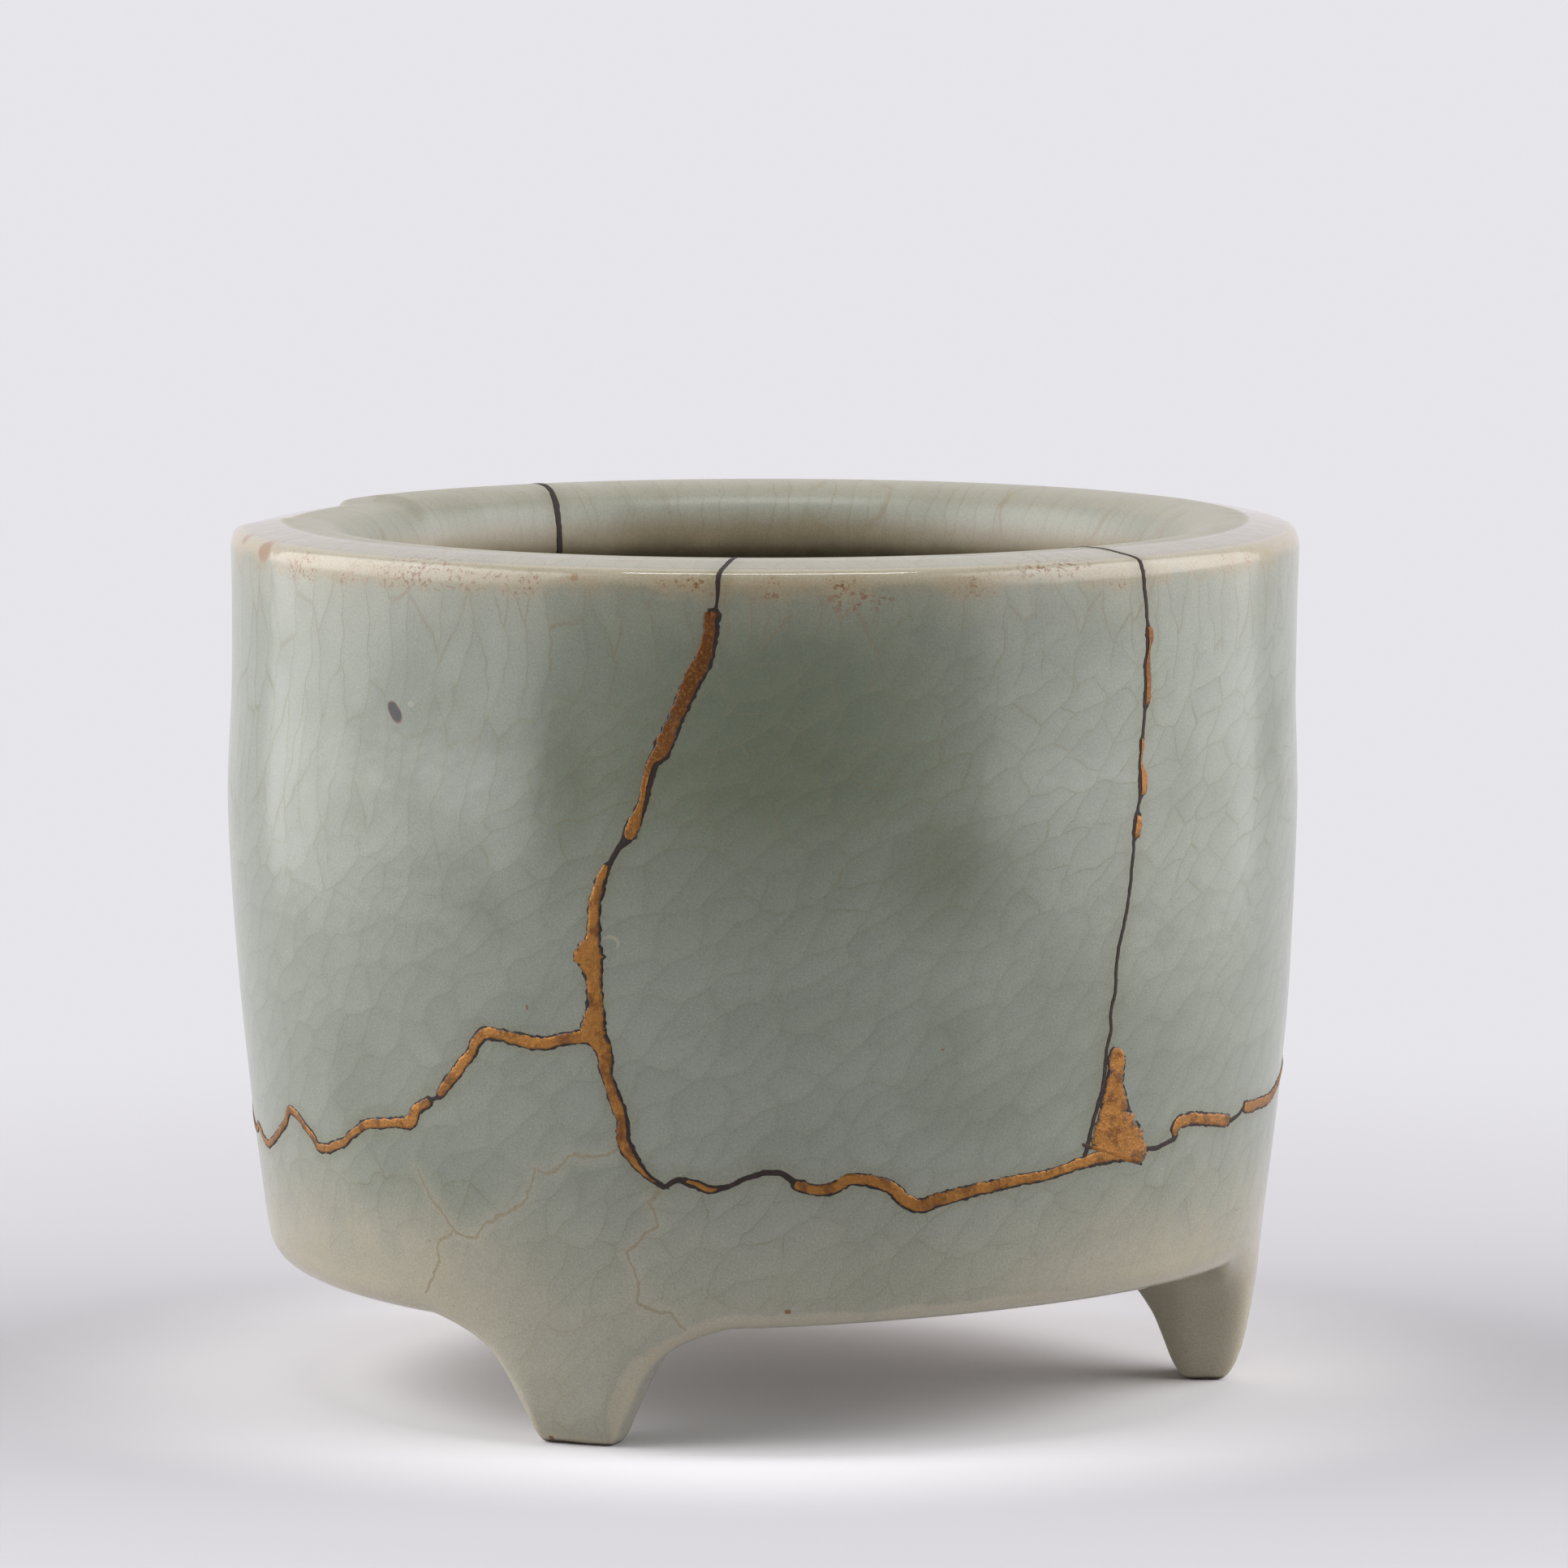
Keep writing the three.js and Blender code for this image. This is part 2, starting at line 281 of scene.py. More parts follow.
def pointFacesOut(mesh):
    work = bmesh.new()
    work.from_mesh(mesh)
    bmesh.ops.recalc_face_normals(work, faces=work.faces)
    work.to_mesh(mesh)
    work.free()


def selectOnly(things):
    for thing in bpy.context.selected_objects:
        thing.select_set(False)
    for thing in things:
        thing.select_set(True)
    bpy.context.view_layer.objects.active = things[0]


# The fired vessel

vessel = {
    "radius": 46.0,
    "height": 74.5,
    "underside": 11.1,
    "floor": 16.8,
    "baseRadius": 43.0,
    "footAzimuths": (-23.4, 91.0, -147.0),
    "soleHalfWidth": 3.6,
    "flankLean": 0.48,
    "flankFlare": 5.0,
    "flareSharpness": 7,
    "columns": 520,
    "rowSpacing": 1.5,
    "bulge": 0.25,
    "rimDip": 0.55,
    "tilt": (0.63, 0.61),  # the underside's edge rises by this at the right, and at the back
    "arch": 0.4,  # the underside's edge rises by this between the feet
    "wobble": 0.14,
    "wobbleScale": 55.0,  # per metre
}

# The section, from the middle of the underside out, up the wall, over the rim and down inside.
# Each point: radius and height between the feet, radius and height through a foot, spacing of rows.
# Where both are the same, they are given once.
under = vessel["underside"]
floorZ = vessel["floor"]
section = [
    (0, under, 1.6),
    (14, under, 1.6),
    (24, under, 1.3),
    (27, under, 0.8),
    (28.8, under, 29.0, under - 0.45, 0.5),
    (30.6, under, 30.8, under - 1.8, 0.45),
    (32.0, under, 32.3, 7.5, 0.45),
    (33.4, under, 33.6, 5.6, 0.45),
    (34.6, under, 34.5, 3.6, 0.45),
    (35.6, under, 35.3, 1.7, 0.4),
    (36.4, under, 36.1, 0.45, 0.25),
    (37.2, under, 36.9, 0.03, 0.3),
    (38.4, under, 38.2, 0.0, 0.35),
    (39.5, under, 39.4, 0.05, 0.25),
    (40.6, under + 0.05, 40.15, 0.5, 0.25),
    (41.7, under + 0.5, 40.8, 1.5, 0.3),
    (42.4, under + 1.2, 41.5, 3.4, 0.35),
    (42.8, under + 2.0, 42.1, 6.2, 0.45),
    (43.0, under + 2.9, 42.65, 9.8, 0.5),
    (43.2, 15.0, 43.15, 14.3, 0.6),
    (43.6, 18.0, 0.8),
    (44.4, 24.5, 0.8),
    (45.4, 35.0, 0.85),
    (46.15, 50.0, 0.85),
    (45.9, 60.0, 0.8),
    (45.9, 68.0, 0.7),
    (46.0, 72.2, 0.4),
    (45.92, 73.3, 0.22),
    (45.55, 74.0, 0.2),
    (44.8, 74.3, 0.3),
    (43.4, 74.55, 0.5),
    (41.6, 74.8, 0.5),
    (39.6, 74.8, 0.45),
    (37.8, 74.4, 0.4),
    (36.3, 73.4, 0.4),
    (35.35, 71.8, 0.4),
    (35.0, 70.1, 0.4),
    (35.1, 68.8, 0.4),
    (36.0, 67.5, 0.5),
    (38.2, 65.6, 0.6),
    (39.8, 62.8, 0.8),
    (40.4, 57.0, 1.0),
    (40.3, 44.0, 1.1),
    (39.6, 33.0, 1.1),
    (38.5, 24.5, 0.8),
    (37.9, 20.9, 0.6),
    (36.2, 18.3, 0.6),
    (33.6, 17.1, 0.8),
    (30.0, floorZ, 1.3),
    (15.0, floorZ, 1.6),
    (0, floorZ, 1.6),
]


# How high the flank of a foot is above the ground, at a distance from the foot's middle.
def flankHeight(distance):
    heights = np.linspace(0, under - 0.15, 60)
    halfWidths = (
        vessel["soleHalfWidth"]
        + vessel["flankLean"] * heights
        + vessel["flankFlare"] * (heights / (under - 0.3)) ** vessel["flareSharpness"]
    )
    softened = [np.interp(distance + shift, halfWidths, heights) for shift in (-0.4, -0.2, 0, 0.2, 0.4)]
    return np.mean(softened, axis=0)


# The pot's columns, closer together on the flanks of the feet: azimuth and what is uneven there.
def potColumns():
    fine = np.linspace(-180, 180, 7201)
    apart = np.abs((fine[:, None] - np.array(vessel["footAzimuths"])[None] + 180) % 360 - 180).min(axis=1)
    distance = np.radians(apart) * vessel["baseRadius"]
    density = 1 + 2.4 * smooth(distance, 1.8, 3.2) * (1 - smooth(distance, 7, 11))
    along = np.concatenate([[0], np.cumsum((density[1:] + density[:-1]) / 2)])
    azimuth = np.interp(np.linspace(0, along[-1], vessel["columns"] + 1), along, fine)
    angle = np.radians(azimuth)
    distance = np.interp(azimuth, fine, distance)
    betweenFeet = np.radians(33.5)
    towardsRight, towardsBack = vessel["tilt"]
    low = smooth(-azimuth, 88, 98) * (1 - smooth(-azimuth, 123.4, 124.8))
    return {
        "azimuth": angle,
        "footWeight": np.clip(1 - flankHeight(distance) / (under - 0.15), 0, 1),
        "tilt": towardsRight * np.sin(angle) - towardsBack * np.cos(angle),
        "arch": vessel["arch"] * np.cos(3 * (angle - betweenFeet)),
        "bulge": -vessel["bulge"] * np.sin(angle),
        "dip": -vessel["rimDip"] * low,
    }


# How much each row shares in what the columns hold.
def rowShares(radius, height, reference):
    lifted = (1 - smooth(reference[:, 1], under + 1, 20)) * (reference[:, 1] < floorZ + 20)
    outside = np.arange(len(radius)) < np.argmax(reference[:, 1])
    lifted = lifted * outside * smooth(height, 1, 9)
    share = np.clip(reference[:, 0] / vessel["baseRadius"], 0, 1)
    wall = np.exp(-(((height - 50) / 14) ** 2)) * smooth(radius, 20, 38)
    return {
        "tiltShare": lifted * share,
        "archShare": lifted * share**4,
        "bulgeShare": wall,
        "dipShare": smooth(height, 66, vessel["height"] - 1),
    }


def sampled(tree, source, value, index, kind="FLOAT"):
    node = addNode(tree, "GeometryNodeSampleIndex", data_type=kind, domain="POINT")
    tree.links.new(source, node.inputs["Geometry"])
    tree.links.new(value, next(s for s in node.inputs if s.name == "Value" and s.enabled))
    tree.links.new(index, node.inputs["Index"])
    return next(s for s in node.outputs if s.enabled)


def named(tree, name, kind="FLOAT"):
    node = addNode(tree, "GeometryNodeInputNamedAttribute", {"Name": name}, data_type=kind)
    return next(s for s in node.outputs if s.enabled and s.name == "Attribute")


# Starts a tree: the named inputs, and a grid whose vertices know their column and row.
def startTree(name, inputs):
    tree = bpy.data.node_groups.new(name, "GeometryNodeTree")
    tree.interface.new_socket("Geometry", in_out="INPUT", socket_type="NodeSocketGeometry")
    for label, kind in inputs:
        tree.interface.new_socket(label, in_out="INPUT", socket_type=kind)
    tree.interface.new_socket("Geometry", in_out="OUTPUT", socket_type="NodeSocketGeometry")
    given = addNode(tree, "NodeGroupInput")
    grid = addNode(
        tree,
        "GeometryNodeMeshGrid",
        {"Vertices X": given.outputs["Columns"], "Vertices Y": given.outputs["Rows"]},
    )
    index = addNode(tree, "GeometryNodeInputIndex").outputs[0]
    middle = maths(tree, "ADD", index, 0.5)
    column = maths(tree, "FLOOR", maths(tree, "DIVIDE", middle, given.outputs["Rows"]))
    row = maths(tree, "SUBTRACT", index, maths(tree, "MULTIPLY", column, given.outputs["Rows"]))
    return tree, given, grid.outputs["Mesh"], column, row


def finishTree(tree, given, geometry, place, closeWithin):
    moved = addNode(tree, "GeometryNodeSetPosition", {"Geometry": geometry, "Position": place})
    merged = addNode(
        tree,
        "GeometryNodeMergeByDistance",
        {"Geometry": moved.outputs[0], "Distance": closeWithin},
    )
    real = addNode(tree, "GeometryNodeRealizeInstances", {"Geometry": merged.outputs[0]})
    finish = addNode(
        tree,
        "GeometryNodeSetMaterial",
        {"Geometry": real.outputs[0], "Material": given.outputs["Material"]},
    )
    addNode(tree, "NodeGroupOutput", {0: finish.outputs[0]})


# The meshes of the objects that a tree is given.
def givenMeshes(tree, given, labels):
    meshes = {}
    for label in labels:
        info = addNode(tree, "GeometryNodeObjectInfo", {"Object": given.outputs[label]})
        meshes[label] = info.outputs["Geometry"]
    return meshes


def useTree(thing, tree, values):
    modifier = thing.modifiers.new(tree.name, "NODES")
    modifier.node_group = tree
    sockets = {item.name: item.identifier for item in tree.interface.items_tree if item.in_out == "INPUT"}
    for name, value in values.items():
        modifier[sockets[name]] = value
    return modifier


# Turns the two sections round the axis, mixing them where a foot grows out of the base.
def turnedVesselTree():
    inputs = [
        ("Columns", "NodeSocketInt"),
        ("Rows", "NodeSocketInt"),
        ("Wall Section", "NodeSocketObject"),
        ("Foot Section", "NodeSocketObject"),
        ("Unevenness", "NodeSocketObject"),
        ("Wobble", "NodeSocketFloat"),
        ("Wobble Scale", "NodeSocketFloat"),
        ("Material", "NodeSocketMaterial"),
    ]
    tree, given, grid, column, row = startTree("turnedVessel", inputs)
    source = givenMeshes(tree, given, ("Wall Section", "Foot Section", "Unevenness"))
    position = addNode(tree, "GeometryNodeInputPosition").outputs[0]

    def perColumn(name):
        return sampled(tree, source["Unevenness"], named(tree, name), column)

    weight = perColumn("footWeight")

    def mixedRow(value, kind):
        wall = sampled(tree, source["Wall Section"], value, row, kind)
        foot = sampled(tree, source["Foot Section"], value, row, kind)
        mixed = "FLOAT" if kind == "FLOAT" else "VECTOR"
        mix = addNode(tree, "ShaderNodeMix", {0: weight}, data_type=mixed)
        first, second = [s for s in mix.inputs if s.enabled and s.name in ("A", "B")]
        tree.links.new(wall, first)
        tree.links.new(foot, second)
        return next(s for s in mix.outputs if s.enabled)

    point = addNode(tree, "ShaderNodeSeparateXYZ", {0: mixedRow(position, "FLOAT_VECTOR")})
    radius = point.outputs["X"]
    height = point.outputs["Z"]
    for columnName, shareName in (("tilt", "tiltShare"), ("arch", "archShare"), ("dip", "dipShare")):
        share = mixedRow(named(tree, shareName), "FLOAT")
        height = maths(tree, "MULTIPLY_ADD", perColumn(columnName), share, height)
    bulgeShare = mixedRow(named(tree, "bulgeShare"), "FLOAT")
    radius = maths(tree, "MULTIPLY_ADD", perColumn("bulge"), bulgeShare, radius)
    azimuth = perColumn("azimuth")
    x = maths(tree, "MULTIPLY", radius, maths(tree, "SINE", azimuth))
    y = maths(tree, "MULTIPLY", radius, maths(tree, "MULTIPLY", maths(tree, "COSINE", azimuth), -1))
    turned = vectorOf(tree, x, y, height)
    waves = addNode(
        tree,
        "ShaderNodeTexNoise",
        {"Vector": turned, "Scale": given.outputs["Wobble Scale"], "Detail": 2.0, "Roughness": 0.4},
    )
    centred = maths(tree, "SUBTRACT", waves.outputs[0], 0.5)
    swell = maths(tree, "MULTIPLY", centred, given.outputs["Wobble"])
    outward = vectorMaths(tree, "NORMALIZE", vectorOf(tree, x, y))
    clearOfGround = maths(tree, "MULTIPLY", swell, fade(tree, height, 0.5 * mm, 6 * mm))
    place = vectorMaths(tree, "ADD", turned, vectorMaths(tree, "SCALE", outward, clearOfGround))
    finishTree(tree, given, grid, place, 1e-6)
    return tree


def makeVessel(glaze):
    table = np.array([row if len(row) == 5 else (*row[:2], *row) for row in section])
    table[:, 4] *= vessel["rowSpacing"]
    rows = curveThrough(table, measured=4)
    sections = {}
    for label, first in (("wallSection", 0), ("footSection", 2)):
        radius, height = rows[:, first], rows[:, first + 1]
        points = np.stack([np.maximum(radius, 0), np.zeros(len(rows)), height], axis=1)
        thing = meshObject(label, points * mm)
        for name, values in rowShares(radius, height, rows[:, :2]).items():
            putAttribute(thing, name, values)
        sections[label] = thing
    columns = potColumns()
    uneven = meshObject("unevenness", np.zeros((len(columns["azimuth"]), 3)))
    for name, values in columns.items():
        unit = 1 if name in ("azimuth", "footWeight") else mm
        putAttribute(uneven, name, values * unit)
    body = meshObject("firedVessel", [])
    useTree(
        body,
        turnedVesselTree(),
        {
            "Columns": len(columns["azimuth"]),
            "Rows": len(rows),
            "Wall Section": sections["wallSection"],
            "Foot Section": sections["footSection"],
            "Unevenness": uneven,
            "Wobble": vessel["wobble"] * mm,
            "Wobble Scale": vessel["wobbleScale"],
            "Material": glaze,
        },
    )
    applyModifiers(body, "firedVessel")
    discard(uneven, *sections.values())
    pointFacesOut(body.data)
    print("vessel turned:", len(rows), "rows,", len(columns["azimuth"]), "columns")
    return body, rows[:, :2]


# The breaks: azimuth, height, width of the dark lacquer, width of the gold on it, and how far
# the gold sits to the right of the break, or below it on the breaks that run round the pot.

breaks = {
    "front": {
        "overRim": True,
        "points": [
            (-4.8, 73.3, 0.42, 0, 0), (-4.8, 72.2, 0.3, 0, 0), (-4.9, 71.25, 0.3, 0, 0),
            (-5.1, 71.0, 1.15, 0.9, -0.3), (-5.4, 69.5, 1.25, 1.0, -0.25), (-5.8, 67.8, 1.3, 1.1, -0.15),
            (-6.4, 66.6, 1.65, 1.45, -0.12), (-7.9, 64.3, 1.5, 1.3, -0.1), (-9.3, 61.7, 1.4, 1.2, -0.08),
            (-10.3, 60.0, 1.65, 1.45, -0.08), (-10.9, 59.0, 1.45, 1.15, -0.1), (-11.6, 58.1, 1.1, 0.6, -0.2),
            (-12.2, 56.3, 0.95, 0.5, -0.2), (-12.6, 54.8, 0.9, 0.55, -0.12), (-13.3, 53.5, 1.2, 1.0, 0),
            (-13.9, 52.4, 1.3, 1.15, 0.05), (-14.5, 51.7, 0.7, 0, 0), (-15.2, 50.9, 0.5, 0, 0),
            (-15.9, 50.1, 0.45, 0, 0), (-16.3, 49.6, 0.8, 0.5, -0.1), (-17.1, 48.1, 1.05, 0.8, -0.1),
            (-17.7, 46.4, 1.15, 0.95, -0.05), (-17.8, 44.9, 1.2, 1.0, -0.03),
            (-18.0, 43.5, 1.45, 1.25, -0.05),
            (-18.4, 42.3, 2.7, 2.5, -0.15), (-18.3, 41.5, 2.3, 2.1, -0.1), (-18.1, 40.7, 1.75, 1.55, 0),
            (-18.0, 39.4, 1.5, 1.3, 0.03), (-18.0, 37.6, 1.65, 1.45, 0.05), (-18.2, 36.2, 2.3, 2.1, -0.1),
            (-17.9, 35.2, 2.0, 1.8, -0.1), (-17.2, 34.2, 1.5, 1.3, 0), (-17.05, 33.0, 1.4, 1.2, 0),
            (-16.9, 32.0, 1.1, 0.9, 0), (-16.6, 31.1, 1.05, 0.85, -0.05), (-15.9, 29.5, 1.3, 1.0, -0.1),
            (-15.4, 28.4, 1.1, 0.8, -0.12), (-15.5, 27.1, 1.25, 0.9, -0.15), (-15.2, 26.0, 1.3, 0.9, -0.1),
            (-14.2, 24.8, 1.0, 0.55, -0.12), (-12.9, 23.6, 0.6, 0.25, -0.05), (-11.2, 22.8, 0.5, 0, 0),
        ],
    },
    "left": {
        "points": [
            (-18.2, 35.3, 1.5, 1.3, 0), (-20.1, 35.2, 1.2, 1.0, 0), (-22.0, 34.9, 1.15, 0.95, 0),
            (-24.3, 34.5, 1.2, 1.0, 0), (-26.7, 34.7, 1.25, 1.05, 0), (-29.1, 35.0, 1.15, 0.95, 0),
            (-30.7, 35.1, 1.2, 1.0, 0), (-32.0, 34.4, 1.1, 0.9, 0), (-32.8, 33.2, 1.05, 0.85, 0),
            (-34.4, 32.0, 1.15, 0.95, 0), (-36.3, 30.3, 1.1, 0.9, 0), (-37.2, 29.6, 0.95, 0.7, 0),
            (-37.8, 29.2, 0.4, 0, 0), (-38.4, 29.0, 0.4, 0, 0), (-38.9, 28.8, 1.0, 0.75, 0),
            (-40.8, 28.0, 1.05, 0.85, 0), (-41.9, 26.9, 1.3, 1.1, 0), (-44.6, 26.6, 0.95, 0.75, 0),
            (-46.8, 26.3, 1.05, 0.85, 0), (-49.1, 26.1, 0.95, 0.75, 0), (-51.7, 25.0, 0.85, 0.6, 0),
            (-54.1, 24.0, 0.95, 0.7, 0), (-58.6, 23.2, 0.95, 0.7, 0), (-60.2, 24.2, 0.8, 0.6, 0),
            (-64.9, 25.9, 0.9, 0.7, 0), (-67.5, 24.4, 0.8, 0.6, 0), (-74.7, 22.0, 0.8, 0.6, 0),
            (-79.8, 23.1, 0.8, 0.55, 0),
        ],
    },
    "rightBase": {
        "points": [
            (-12.2, 23.2, 0.5, 0, 0), (-11.2, 22.8, 0.45, 0, 0), (-9.8, 23.4, 0.5, 0, 0),
            (-8.1, 23.1, 0.8, 0.35, -0.1), (-6.4, 22.7, 0.8, 0.45, 0.05), (-4.8, 22.8, 0.5, 0, 0),
            (-3.5, 23.2, 0.42, 0, 0), (-2.1, 23.7, 0.45, 0, 0), (-0.1, 24.15, 0.5, 0, 0),
            (1.6, 24.0, 0.5, 0, 0), (2.6, 23.4, 0.6, 0, 0), (3.0, 23.1, 1.0, 0.7, 0),
            (5.2, 22.6, 1.05, 0.85, -0.05), (7.3, 22.8, 1.1, 0.9, -0.05), (8.9, 23.4, 1.1, 0.9, -0.05),
            (11.0, 23.3, 1.15, 0.9, -0.06), (13.0, 22.8, 1.2, 1.0, -0.06), (15.0, 21.5, 1.25, 1.05, -0.06),
            (16.6, 21.0, 1.3, 1.1, -0.06), (18.5, 21.4, 1.3, 1.1, -0.05), (21.0, 21.8, 1.25, 1.05, -0.05),
            (23.9, 22.2, 1.15, 0.95, -0.05), (26.5, 22.5, 1.1, 0.9, -0.05), (30.0, 22.8, 1.05, 0.85, -0.05),
            (33.1, 23.1, 1.0, 0.8, -0.05), (36.0, 23.6, 1.1, 0.9, -0.05), (38.5, 23.9, 1.3, 1.1, -0.1),
            (41.6, 24.0, 1.4, 1.2, -0.15), (45.0, 24.1, 1.1, 0.9, -0.1), (46.0, 24.2, 0.5, 0, 0),
            (47.9, 24.2, 0.45, 0, 0), (50.2, 24.6, 0.5, 0, 0), (50.6, 24.95, 0.9, 0.6, 0),
            (50.5, 25.5, 1.2, 0.95, 0), (51.6, 26.1, 1.3, 1.05, 0), (55.0, 26.0, 1.25, 1.0, 0),
            (59.1, 25.5, 1.2, 1.0, 0), (61.8, 25.2, 1.1, 0.9, 0), (62.3, 25.1, 0.5, 0, 0),
            (64.1, 25.4, 0.4, 0, 0), (65.6, 25.9, 0.5, 0, 0), (66.0, 26.0, 1.1, 0.9, 0),
            (70.2, 25.8, 1.1, 0.9, 0), (75.5, 25.8, 1.1, 0.9, 0), (80.5, 26.5, 1.0, 0.8, 0),
        ],
    },
    "backBase": {
        "points": [
            (80.5, 26.5, 1.0, 0.8, 0), (95.0, 28.0, 1.0, 0.8, 0), (104.0, 26.2, 0.5, 0, 0),
            (107.0, 25.6, 0.5, 0, 0), (110.0, 25.2, 0.9, 0.7, 0), (125.0, 27.4, 1.1, 0.9, 0),
            (140.0, 29.6, 1.0, 0.8, 0), (152.0, 27.0, 1.0, 0.7, 0), (158.0, 25.6, 0.5, 0, 0),
            (165.0, 24.4, 0.9, 0.7, 0), (180.0, 26.0, 1.1, 0.9, 0), (195.0, 28.8, 1.0, 0.8, 0),
            (209.0, 27.5, 1.5, 1.3, 0), (222.0, 24.8, 1.0, 0.8, 0), (231.0, 25.6, 0.5, 0, 0),
            (236.0, 26.2, 0.9, 0.7, 0), (250.0, 27.8, 1.0, 0.8, 0), (265.0, 25.2, 1.0, 0.8, 0),
            (276.0, 22.6, 0.8, 0.6, 0), (280.2, 23.1, 0.8, 0.55, 0),
        ],
    },
    "right": {
        "overRim": True,
        "slant": -0.2,
        "points": [
            (43.3, 73.4, 0.42, 0, 0), (43.7, 71.0, 0.4, 0, 0), (44.0, 69.6, 0.38, 0, 0),
            (44.2, 68.65, 0.38, 0, 0), (44.3, 68.3, 0.75, 0.5, 0.2), (44.4, 67.4, 0.85, 0.6, 0.22),
            (44.3, 66.8, 0.6, 0.3, 0.15), (44.2, 66.1, 0.55, 0.3, 0.1), (44.1, 65.4, 0.8, 0.55, 0.12),
            (44.2, 64.0, 0.8, 0.6, 0.1), (44.2, 62.8, 0.85, 0.65, 0.16), (44.0, 61.8, 0.7, 0.45, 0.15),
            (43.9, 61.4, 0.38, 0, 0), (43.6, 59.5, 0.36, 0, 0), (43.5, 59.1, 0.5, 0.25, 0.06),
            (43.4, 58.4, 0.6, 0.4, 0.12), (43.3, 57.9, 0.4, 0.2, 0.05), (43.1, 57.2, 0.42, 0.16, 0.05),
            (43.2, 56.5, 0.7, 0.5, 0.16), (43.3, 55.6, 0.95, 0.75, 0.22), (43.2, 54.6, 0.85, 0.6, 0.2),
            (42.9, 54.0, 0.36, 0, 0), (42.65, 53.2, 0.38, 0, 0), (42.6, 52.8, 0.75, 0.55, 0.16),
            (42.5, 51.9, 0.95, 0.75, 0.2), (42.3, 50.9, 0.8, 0.6, 0.18), (42.1, 50.4, 0.36, 0, 0),
            (41.7, 47.0, 0.36, 0, 0), (41.3, 44.9, 0.34, 0, 0), (40.7, 42.9, 0.36, 0, 0),
            (40.1, 40.3, 0.34, 0, 0), (40.1, 38.2, 0.34, 0, 0), (39.6, 36.4, 0.34, 0, 0),
            (39.7, 34.8, 0.34, 0, 0), (39.3, 33.4, 0.36, 0, 0), (39.25, 32.3, 0.4, 0, 0),
            (39.15, 30.1, 0.42, 0, 0), (38.2, 27.3, 0.42, 0, 0), (37.6, 24.9, 0.45, 0, 0),
            (37.4, 23.6, 0.5, 0, 0),
        ],
    },
    "back": {
        "overRim": True,
        "points": [
            (208.4, 73.3, 0.6, 0, 0), (208.8, 70.0, 0.6, 0, 0), (209.5, 67.0, 1.0, 0.8, 0),
            (211.0, 62.0, 1.1, 0.9, 0), (208.5, 54.0, 1.0, 0.8, 0), (209.8, 50.0, 0.5, 0, 0),
            (210.5, 47.0, 0.9, 0.7, 0), (208.0, 40.0, 1.0, 0.8, 0), (209.6, 33.0, 1.1, 0.9, 0),
            (209.0, 27.4, 1.4, 1.2, 0),
        ],
    },
}
# The filled corner where the right seam meets the base seam: a patch laid over them.
cornerPatch = [
    (41.0, 33.15, 1.3, 1.15, 0), (40.5, 32.6, 2.05, 1.9, 0), (40.4, 31.2, 2.0, 1.85, 0),
    (40.35, 30.0, 2.3, 2.15, 0), (40.4, 28.5, 3.1, 2.95, 0), (40.6, 27.0, 4.2, 4.05, 0),
    (41.0, 25.7, 5.6, 5.4, 0), (41.3, 24.9, 6.6, 6.4, 0), (41.0, 24.2, 7.0, 6.8, 0),
    (40.8, 23.75, 6.9, 6.6, 0),
]
lacquer = {
    "step": 0.26,
    "darkProud": 0.05,
    "goldProud": 0.11,
    "patchProud": 0.13,
    "endLength": 0.18,
    "arcRadius": 45.0,
    "gap": 0.14,  # left between two sherds, under the lacquer
    "slant": 0.24,  # degrees a break turns for each millimetre inward, except where a break has its own
    "slantDepth": 6,  # over which the slant is measured
    "cutRadii": (28.0, 52.0),  # from where to where a break is cut
    "ragged": ((0.09, 1.3), (0.05, 0.5)),  # size and wavelength of a break's raggedness
    "coarseNibble": (0.22, 0.8),  # share of a strip's half width, and wavelength
    "fineNibble": (0.26, 0.33),
    "thickness": (0.8, 0.35, 1.9),  # share of the thickness, how much that swings, and its wavelength
    "leastGold": 0.12,  # narrower gold is left out
    "shortestGold": 4,  # and so are stretches of this many points or fewer
    "rimSway": (0.12, 9),  # degrees that a seam strays on the rim, and how fast
}
darkColumn, goldColumn, shiftColumn = 3, 4, 5  # of a seam's line
lacquerSection = [
    (-1, 0.15), (-0.94, 0.62), (-0.8, 0.9), (-0.5, 1.0), (0, 0.94),
    (0.5, 1.0), (0.8, 0.9), (0.94, 0.62), (1, 0.15),
    (0.97, -1), (0.0, -1), (-0.97, -1), (-1, 0.15),
]


# The course of a break on the unrolled wall, made ragged: arc length, height, widths, shift.
def raggedCourse(points, seed):
    table = np.array(points, float)
    table[:, 0] = np.radians(table[:, 0]) * lacquer["arcRadius"]
    course = curveThrough(table, lacquer["step"])
    along = np.arange(len(course)) * lacquer["step"]
    for axis in (0, 1):
        for size, wave in lacquer["ragged"]:
            swing = [size * noise.noise(Vector((s / wave, seed * 7.3, axis * 3.1))) for s in along]
            course[:, axis] += swing * smooth(np.minimum(along, along[-1] - along), 0, 1)
    course[:, 2:4] = np.maximum(course[:, 2:4], 0)
    return course


# The profile's rows at the crest of the rim and where the lip reaches furthest in.
def crestAndLip(profile):
    rowsToLip = 60
    crest = int(np.argmax(profile[:, 1]))
    return crest, crest + int(np.argmin(profile[crest : crest + rowsToLip, 0]))


# Radius of the wall at a height, outside or inside. The floor and the underside are left out.
def wallRadius(profile, z, inside=False):
    floorEnds, undersideEnds = 25, 42.9
    crest, lip = crestAndLip(profile)
    if inside:
        part = profile[lip:][::-1]
        part = part[part[:, 0] > floorEnds]
    else:
        part = profile[: crest + 1]
        part = part[part[:, 0] > undersideEnds]
    return np.interp(z, part[:, 1], part[:, 0])


